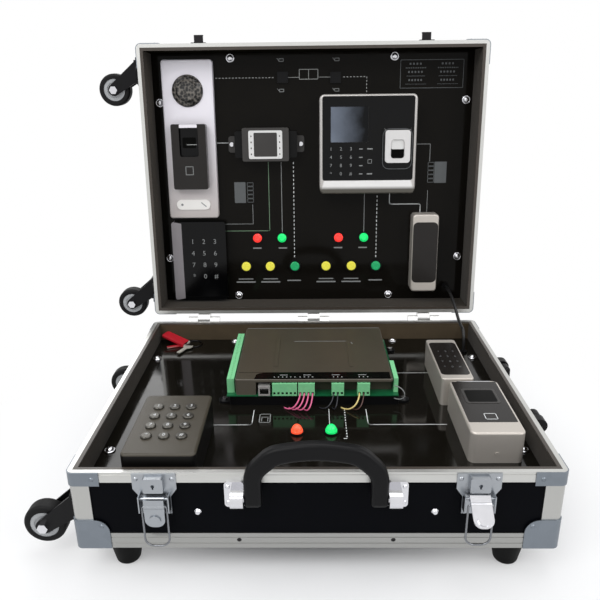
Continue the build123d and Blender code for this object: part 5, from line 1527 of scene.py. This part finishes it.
    def printed_lines(self) -> None:
        """White, green and grey lines between the devices."""
        level = self.panel + 0.02
        white = Relief("lid_printed_lines", LID, Plastic.PRINT)
        white.line([(-159, 65.3), (-140.5, 65.3)], level)
        white.line([(130, -17), (130, -38.6), (182.5, -38.6), (182.5, -52)], level, 1.2, bend=4.0)
        white.line([(-32.4, 33), (-32.4, -133)], level, 1.3, dash=3.4)
        white.line([(109, -17), (109, -134)], level, 1.3, dash=3.4)
        white.build("acrylic")
        bell = Relief("lid_bell_lines", LID, Plastic.SOFT)
        bell.line([(-157, 167.4), (-60, 167.4)], level, 1.1, dash=2.6)
        bell.line([(50, 167.4), (88.0, 167.4), (88.0, 141)], level, 1.1, dash=2.6)
        bell.frame(-6, 172.0, 30, 15, level, 0.8)
        bell.line([(-6, 164.5), (-6, 179.5)], level, 0.8)
        bell.line([(-39, 167.4), (-22, 167.4)], level, 0.7)
        bell.line([(10, 167.4), (29, 167.4)], level, 0.7)
        bell.build("acrylic")
        green = Relief("lid_green_lines", LID, Plastic.GREEN_PRINT)
        green.line([(-74.5, 33), (-74.5, -82.8), (-148.5, -82.8)], level, 1.0, bend=3.0)
        green.build("acrylic")
        grey = Relief("lid_grey_lines", LID, Plastic.FAINT)
        grey.line([(-53, 33), (-53, -85)], level, 1.0)
        grey.line([(87.4, -17), (87.4, -85)], level, 1.0)
        for x in (-50.0, 39.6):
            for y in (194.0, 147.5):
                grey.frame(x, y, 7.0, 4.0, level, 0.9)
                grey.line([(x - 6.5, y + 2.5), (x - 3.5, y - 1.5)], level, 0.8)
        grey.line([(-102.8, -38), (-102.8, -70.7), (-148.5, -70.7)], level, 0.8)
        grey.line([(194, -16), (194, -52)], level, 0.8)
        grey.line([(167.5, 60.5), (195.2, 60.5), (195.2, 32.5)], level, 0.8)
        grey.build("acrylic")

    def printed_signs(self) -> None:
        """Plain symbols, rows of dashes in a frame, tags under the buttons and the lamps' rims."""
        level, print_thick = self.panel + 0.02, 0.12
        icons = Relief("lid_supply_symbols", LID, Plastic.DIM)
        icons.rounded(-123.5, -17, 19, 35, 1.0, level, print_thick)
        icons.rounded(214, 14, 20, 35, 1.0, level, print_thick)
        for x, foot in ((-106.0, -30.5), (198.0, 0.5)):
            for row in range(5):
                icons.frame(x, foot + row * 6.8, 10, 5.6, level, 0.8)
        icons.build("acrylic")
        rows = Relief("lid_text_rows", LID, Plastic.DIM)
        dashes = ((22, 3.4), (34, 2.0), (26, 3.4), (30, 1.2), (24, 3.4), (34, 1.0))  # widths and heights
        for x in (167.3, 218.8):
            for row, (wide, high) in enumerate(dashes):
                y = 186.0 - row * 6.2
                rows.line([(x - wide / 2, y), (x + wide / 2, y)], level, 0.85 * high, dash=0.7 * high)
        rows.build("acrylic")
        border = Relief("lid_text_frame", LID, Plastic.DIM)
        border.frame(192.6, 170.5, 101, 43, level, 0.8)
        border.build("acrylic")
        tags = Relief("lid_button_tags", LID, Plastic.FAINT)
        for x in (-97.0, -52.6, 43.4, 85.8):
            tags.rounded(x, -113.2, 15, 2.2, 0.9, level, print_thick)
        for x in (-118.5, -75.0, 22.5, 66.5):
            tags.rounded(x, -168.5, 26, 1.8, 0.8, level, print_thick)
            tags.rounded(x, -174.0, 34, 2.4, 1.0, level, print_thick)
        for x in (-33.5, 109.0):
            tags.rounded(x, -171.5, 24, 2.2, 0.9, level, print_thick)
        tags.build("acrylic")
        rims = Relief("lid_lamp_rims", LID, Plastic.HANDLE)
        for x in sorted(self.red_lamps + self.green_lamps):
            rims.ring(x, self.lamp_row, 7.3, 9.2, level + 0.4, 0.9)
        rims.build("black_plastic")

    def station_parts(self) -> None:
        """The rounded speaker dome, the call button and the marks on the door station, with a painted
        highlight across its sensor window.
        """
        x, y = self.station
        dome = Relief("door_station_dome", LID, Plastic.SPEAKER)
        dome.dome(x, y + self.speaker, 25.3, 9.6, self.station_top - 0.2)
        dome.build("device_black", True)
        button = y + self.call_button
        inset("door_station_call_button", LID, Plastic.PILL, "module_white", (x, button), (56.6, 16.6), 8.2,
              self.station_top - 0.1, 1.8)
        marks = Relief("door_station_marks", LID, Plastic.FAINT)
        marks.rounded(x - 19, button, 4.0, 4.0, 1.9, self.station_top + 1.7, 0.15)
        marks.line([(x + 14, button + 3), (x + 21, button - 3)], self.station_top + 1.72, 1.6)
        marks.frame(x - 1, y - 46.4, 12, 13, self.reader_top + 0.02, 1.0)
        marks.build("device_black")
        inset("door_station_notch", LID, Metal.PLATE, "device_black", (x, y + 24.6), (29, 5.4), 1.0,
              self.reader_top + 0.01, 0.15)
        inset("door_station_sensor", LID, Plastic.WINDOW, "device_black", (x, y - 2), (22, 17), 2.0,
              self.reader_top - 6.05, 0.5)
        # painted highlight: a pale line across the dark sensor window
        glint = Relief("door_station_sensor_glint", LID, Plastic.SOFT)
        glint.line([(x - 4, y - 5), (x + 12, y - 5)], self.reader_top - 5.5, 1.0)
        glint.build("device_black")

    def touch_digits(self) -> None:
        """Dim digits on the touch keypad."""
        digits = Relief("touch_keypad_digits", LID, Plastic.FAINT)
        digits.keypad((self.touch[0] - 11.0, self.touch[1] + 34.3), (19.0, 20.4), 11.5, self.touch_top - 0.6)
        digits.build("device_black")

    def terminal_parts(self) -> None:
        """Digits, the trim round the sensor and the bright sensor frame on the terminal."""
        level = self.terminal_top - 0.58
        first, pitch = (29.5, 55.5), (16.1, 13.2)
        digits = Relief("terminal_digits", LID, Plastic.FAINT)
        digits.keypad(first, pitch, 7.5, level)
        for row in range(4):
            digits.rounded(77.9, first[1] - 0.2 - row * pitch[1], 6.0, 1.6, 0.7, level, 0.15)
        for row in (0, 3):
            digits.rounded(92.3, first[1] - 0.2 - row * pitch[1], 9.0, 2.0, 0.9, level, 0.15)
        digits.frame(92.3, 35.5, 6.0, 6.0, level, 0.7)
        digits.build("device_black")
        x, y = self.terminal[0] + self.sensor[0], self.terminal[1] + self.sensor[1]
        front = self.terminal_top + self.sensor_rise
        inset("terminal_sensor_scoop", LID, Plastic.LIGHT_FRAME, "device_black", (x, y + 7.0),
              (20.6, 14.6), 2.5, front, 0.5)
        inset("terminal_sensor_glass", LID, Plastic.WINDOW, "device_black", (x, y - 7.6),
              (20.6, 13.6), 1.5, front, 0.5)
        rim = Relief("terminal_sensor_rim", LID, Plastic.DIM)
        w, h = self.sensor_rim
        path = [(0, -h), (w, -h), (w, h), (-w, h), (-w, -h), (0, -h)]
        rim.line([(x + across, y + up) for across, up in path], self.terminal_top + 2.42, 0.9, bend=12.0)
        rim.build("device_black")

    def module_lights(self) -> None:
        """The small lights in the door module's frame."""
        x, y = self.module
        dots = Relief("door_module_lights", LID, Plastic.CHARCOAL)
        for side in (-1, 1):
            for row in range(4):
                dots.rounded(x + side * 23.2, y - 15 + row * 9.5, 1.8, 2.6, 0.8, self.module_top + 1.2, 0.15)
        dots.build("module_white")


# ------------------------------------------------------------------ cable, light and camera
@dataclass
class Cable:
    """The cable that runs from the lid panel to the base panel."""

    diameter: float = 0.005
    length: float = 0.162
    points: tuple[Point3, ...] = (
        (0.232, 0.277209, 0.140942), (0.232, 0.249274, 0.142846), (0.236, 0.221, 0.131),
        (0.239, 0.186, 0.107), (0.240, 0.150, 0.106), (0.240, 0.150, 0.074),
    )

    def build(self) -> None:
        """Make the cable's tube along one smooth line."""
        line = bpy.data.curves.new("lid_cable_line", "CURVE")
        line.dimensions = "3D"
        spline = line.splines.new("NURBS")
        spline.points.add(len(self.points) - 1)
        for point, place in zip(spline.points, self.points):
            point.co = (*place, 1.0)
        spline.order_u = 3
        spline.use_endpoint_u = True
        spline.resolution_u = 12
        carrier = bpy.data.objects.new("lid_cable_line", line)
        bpy.context.scene.collection.objects.link(carrier)
        graph = bpy.context.evaluated_depsgraph_get()
        path = [v.co.copy() for v in bpy.data.meshes.new_from_object(carrier.evaluated_get(graph)).vertices]
        line.bevel_depth = self.diameter / 2
        line.bevel_resolution = 5
        line.use_fill_caps = True
        graph = bpy.context.evaluated_depsgraph_get()
        mesh = bpy.data.meshes.new_from_object(carrier.evaluated_get(graph))
        bpy.data.objects.remove(carrier)
        mesh.materials.clear()
        mesh.materials.append(Plastic.CABLE.value.build())
        tube = bpy.data.objects.new("panel_cable", mesh)
        bpy.context.scene.collection.objects.link(tube)
        mesh.shade_smooth()
        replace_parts(tube, "lid_cable")
        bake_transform(tube)
        LOG.info("built panel_cable")


@dataclass
class Studio:
    """The floor, the soft lamps, the white surroundings and the camera."""

    sky_tone: Colour = (0.9, 0.93, 1.0, 1.0)
    sky_power: float = 0.42
    floor_level: float = -0.038
    floor_reach: float = 6.0
    aim: Point3 = (0.0, 0.05, 0.15)
    lens: float = 38.844
    place: Point3 = (-0.00432, -0.80298, 0.51192)
    yaw: float = -1.03
    pitch: float = 20.15
    roll: float = -0.69

    def build(self) -> None:
        """Set the stage."""
        scene = bpy.context.scene
        scene.view_settings.view_transform = "Standard"
        self.floor()
        self.surroundings()
        self.lamp("key_lamp", (-1.3, -1.6, 2.2), 1.6, 37.0)
        self.lamp("fill_lamp", (1.7, -1.2, 1.5), 1.6, 20.0)
        self.lamp("top_lamp", (0.1, 0.3, 2.4), 1.8, 20.0)
        self.lamp("back_lamp", (-0.6, 2.2, 1.6), 1.6, 16.0)
        self.camera()

    def floor(self) -> None:
        mesh = bpy.data.meshes.new("floor")
        reach = self.floor_reach
        corners = [(-reach, -reach), (reach, -reach), (reach, reach), (-reach, reach)]
        mesh.from_pydata([(x, y, self.floor_level) for x, y in corners], [], [(0, 1, 2, 3)])
        floor = bpy.data.objects.new("floor", mesh)
        bpy.context.scene.collection.objects.link(floor)
        graph = Graph("pale_floor")
        graph.set("Base Color", graph.blend(graph.noise(0.8), linear("#f2f2f2"), linear("#f8f8f8")))
        graph.set("Roughness", graph.noise(0.3) * 0.05 + 0.7)
        away = graph.add("ShaderNodeVectorMath", {"operation": "LENGTH"}, {0: graph.place()}, "Value")
        far = ((away - 0.3) * 2.4 + 0.35).clamp() * graph.seen()
        white = graph.add("ShaderNodeEmission", {}, {"Color": WHITE, "Strength": 1.0}, 0)
        inputs = {0: far, 1: graph.shader.outputs[0], 2: white}
        graph.feed(graph.output.inputs[0], graph.add("ShaderNodeMixShader", {}, inputs, 0))
        mesh.materials.append(graph.material)

    def surroundings(self) -> None:
        """White all round to the eye, and a plainer grey to the light."""
        world = bpy.data.worlds.new("surroundings")
        world.use_nodes = True
        nodes = Nodes(world.node_tree)
        sky = nodes.add("ShaderNodeBackground", {}, {0: self.sky_tone, 1: self.sky_power}, 0)
        backdrop = nodes.add("ShaderNodeBackground", {}, {0: WHITE, 1: 1.0}, 0)
        mixed = nodes.add("ShaderNodeMixShader", {}, {0: nodes.seen(), 1: sky, 2: backdrop}, 0)
        nodes.feed(nodes.tree.nodes.new("ShaderNodeOutputWorld").inputs[0], mixed)
        bpy.context.scene.world = world

    def lamp(self, name: str, place: Point3, size: float, power: float) -> None:
        """Args:
            name: The lamp's name.
            place: Where it stands, in metres.
            size: How wide it is, in metres.
            power: Its power in watts.
        """
        light = bpy.data.lights.new(name, "AREA")
        light.shape = "SQUARE"
        light.size = size
        light.energy = power
        obj = bpy.data.objects.new(name, light)
        obj.location = place
        aim = Vector(self.aim) - Vector(place)
        obj.rotation_euler = aim.to_track_quat("-Z", "Y").to_euler()
        bpy.context.scene.collection.objects.link(obj)

    def camera(self) -> None:
        yaw, pitch, roll = radians(self.yaw), radians(self.pitch), radians(self.roll)
        ahead = Vector((sin(yaw) * cos(pitch), cos(yaw) * cos(pitch), -sin(pitch)))
        level = Vector((cos(yaw), -sin(yaw), 0))
        above = level.cross(ahead)
        right = level * cos(roll) + above * sin(roll)
        up = above * cos(roll) - level * sin(roll)
        data = bpy.data.cameras.new("camera")
        data.lens = self.lens
        data.sensor_width = 36.0
        data.sensor_fit = "HORIZONTAL"
        data.clip_start = 0.01
        obj = bpy.data.objects.new("camera", data)
        turn = Matrix((right, up, -ahead)).transposed().to_4x4()
        obj.matrix_world = Matrix.Translation(Vector(self.place)) @ turn
        bpy.context.scene.collection.objects.link(obj)
        bpy.context.scene.camera = obj


def main() -> None:
    """Load the frame, and dress and build everything."""
    logging.basicConfig(level=logging.INFO, format="%(name)s: %(message)s")
    FRAME.update(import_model())
    Studio().build()
    Cable().build()
    Case().dress()
    Hardware().dress()
    base = BaseDevices()
    base.dress()
    base.build()
    lid = LidDevices()
    lid.dress()
    lid.build()
    LOG.info("done")


if __name__ == "__main__":
    main()
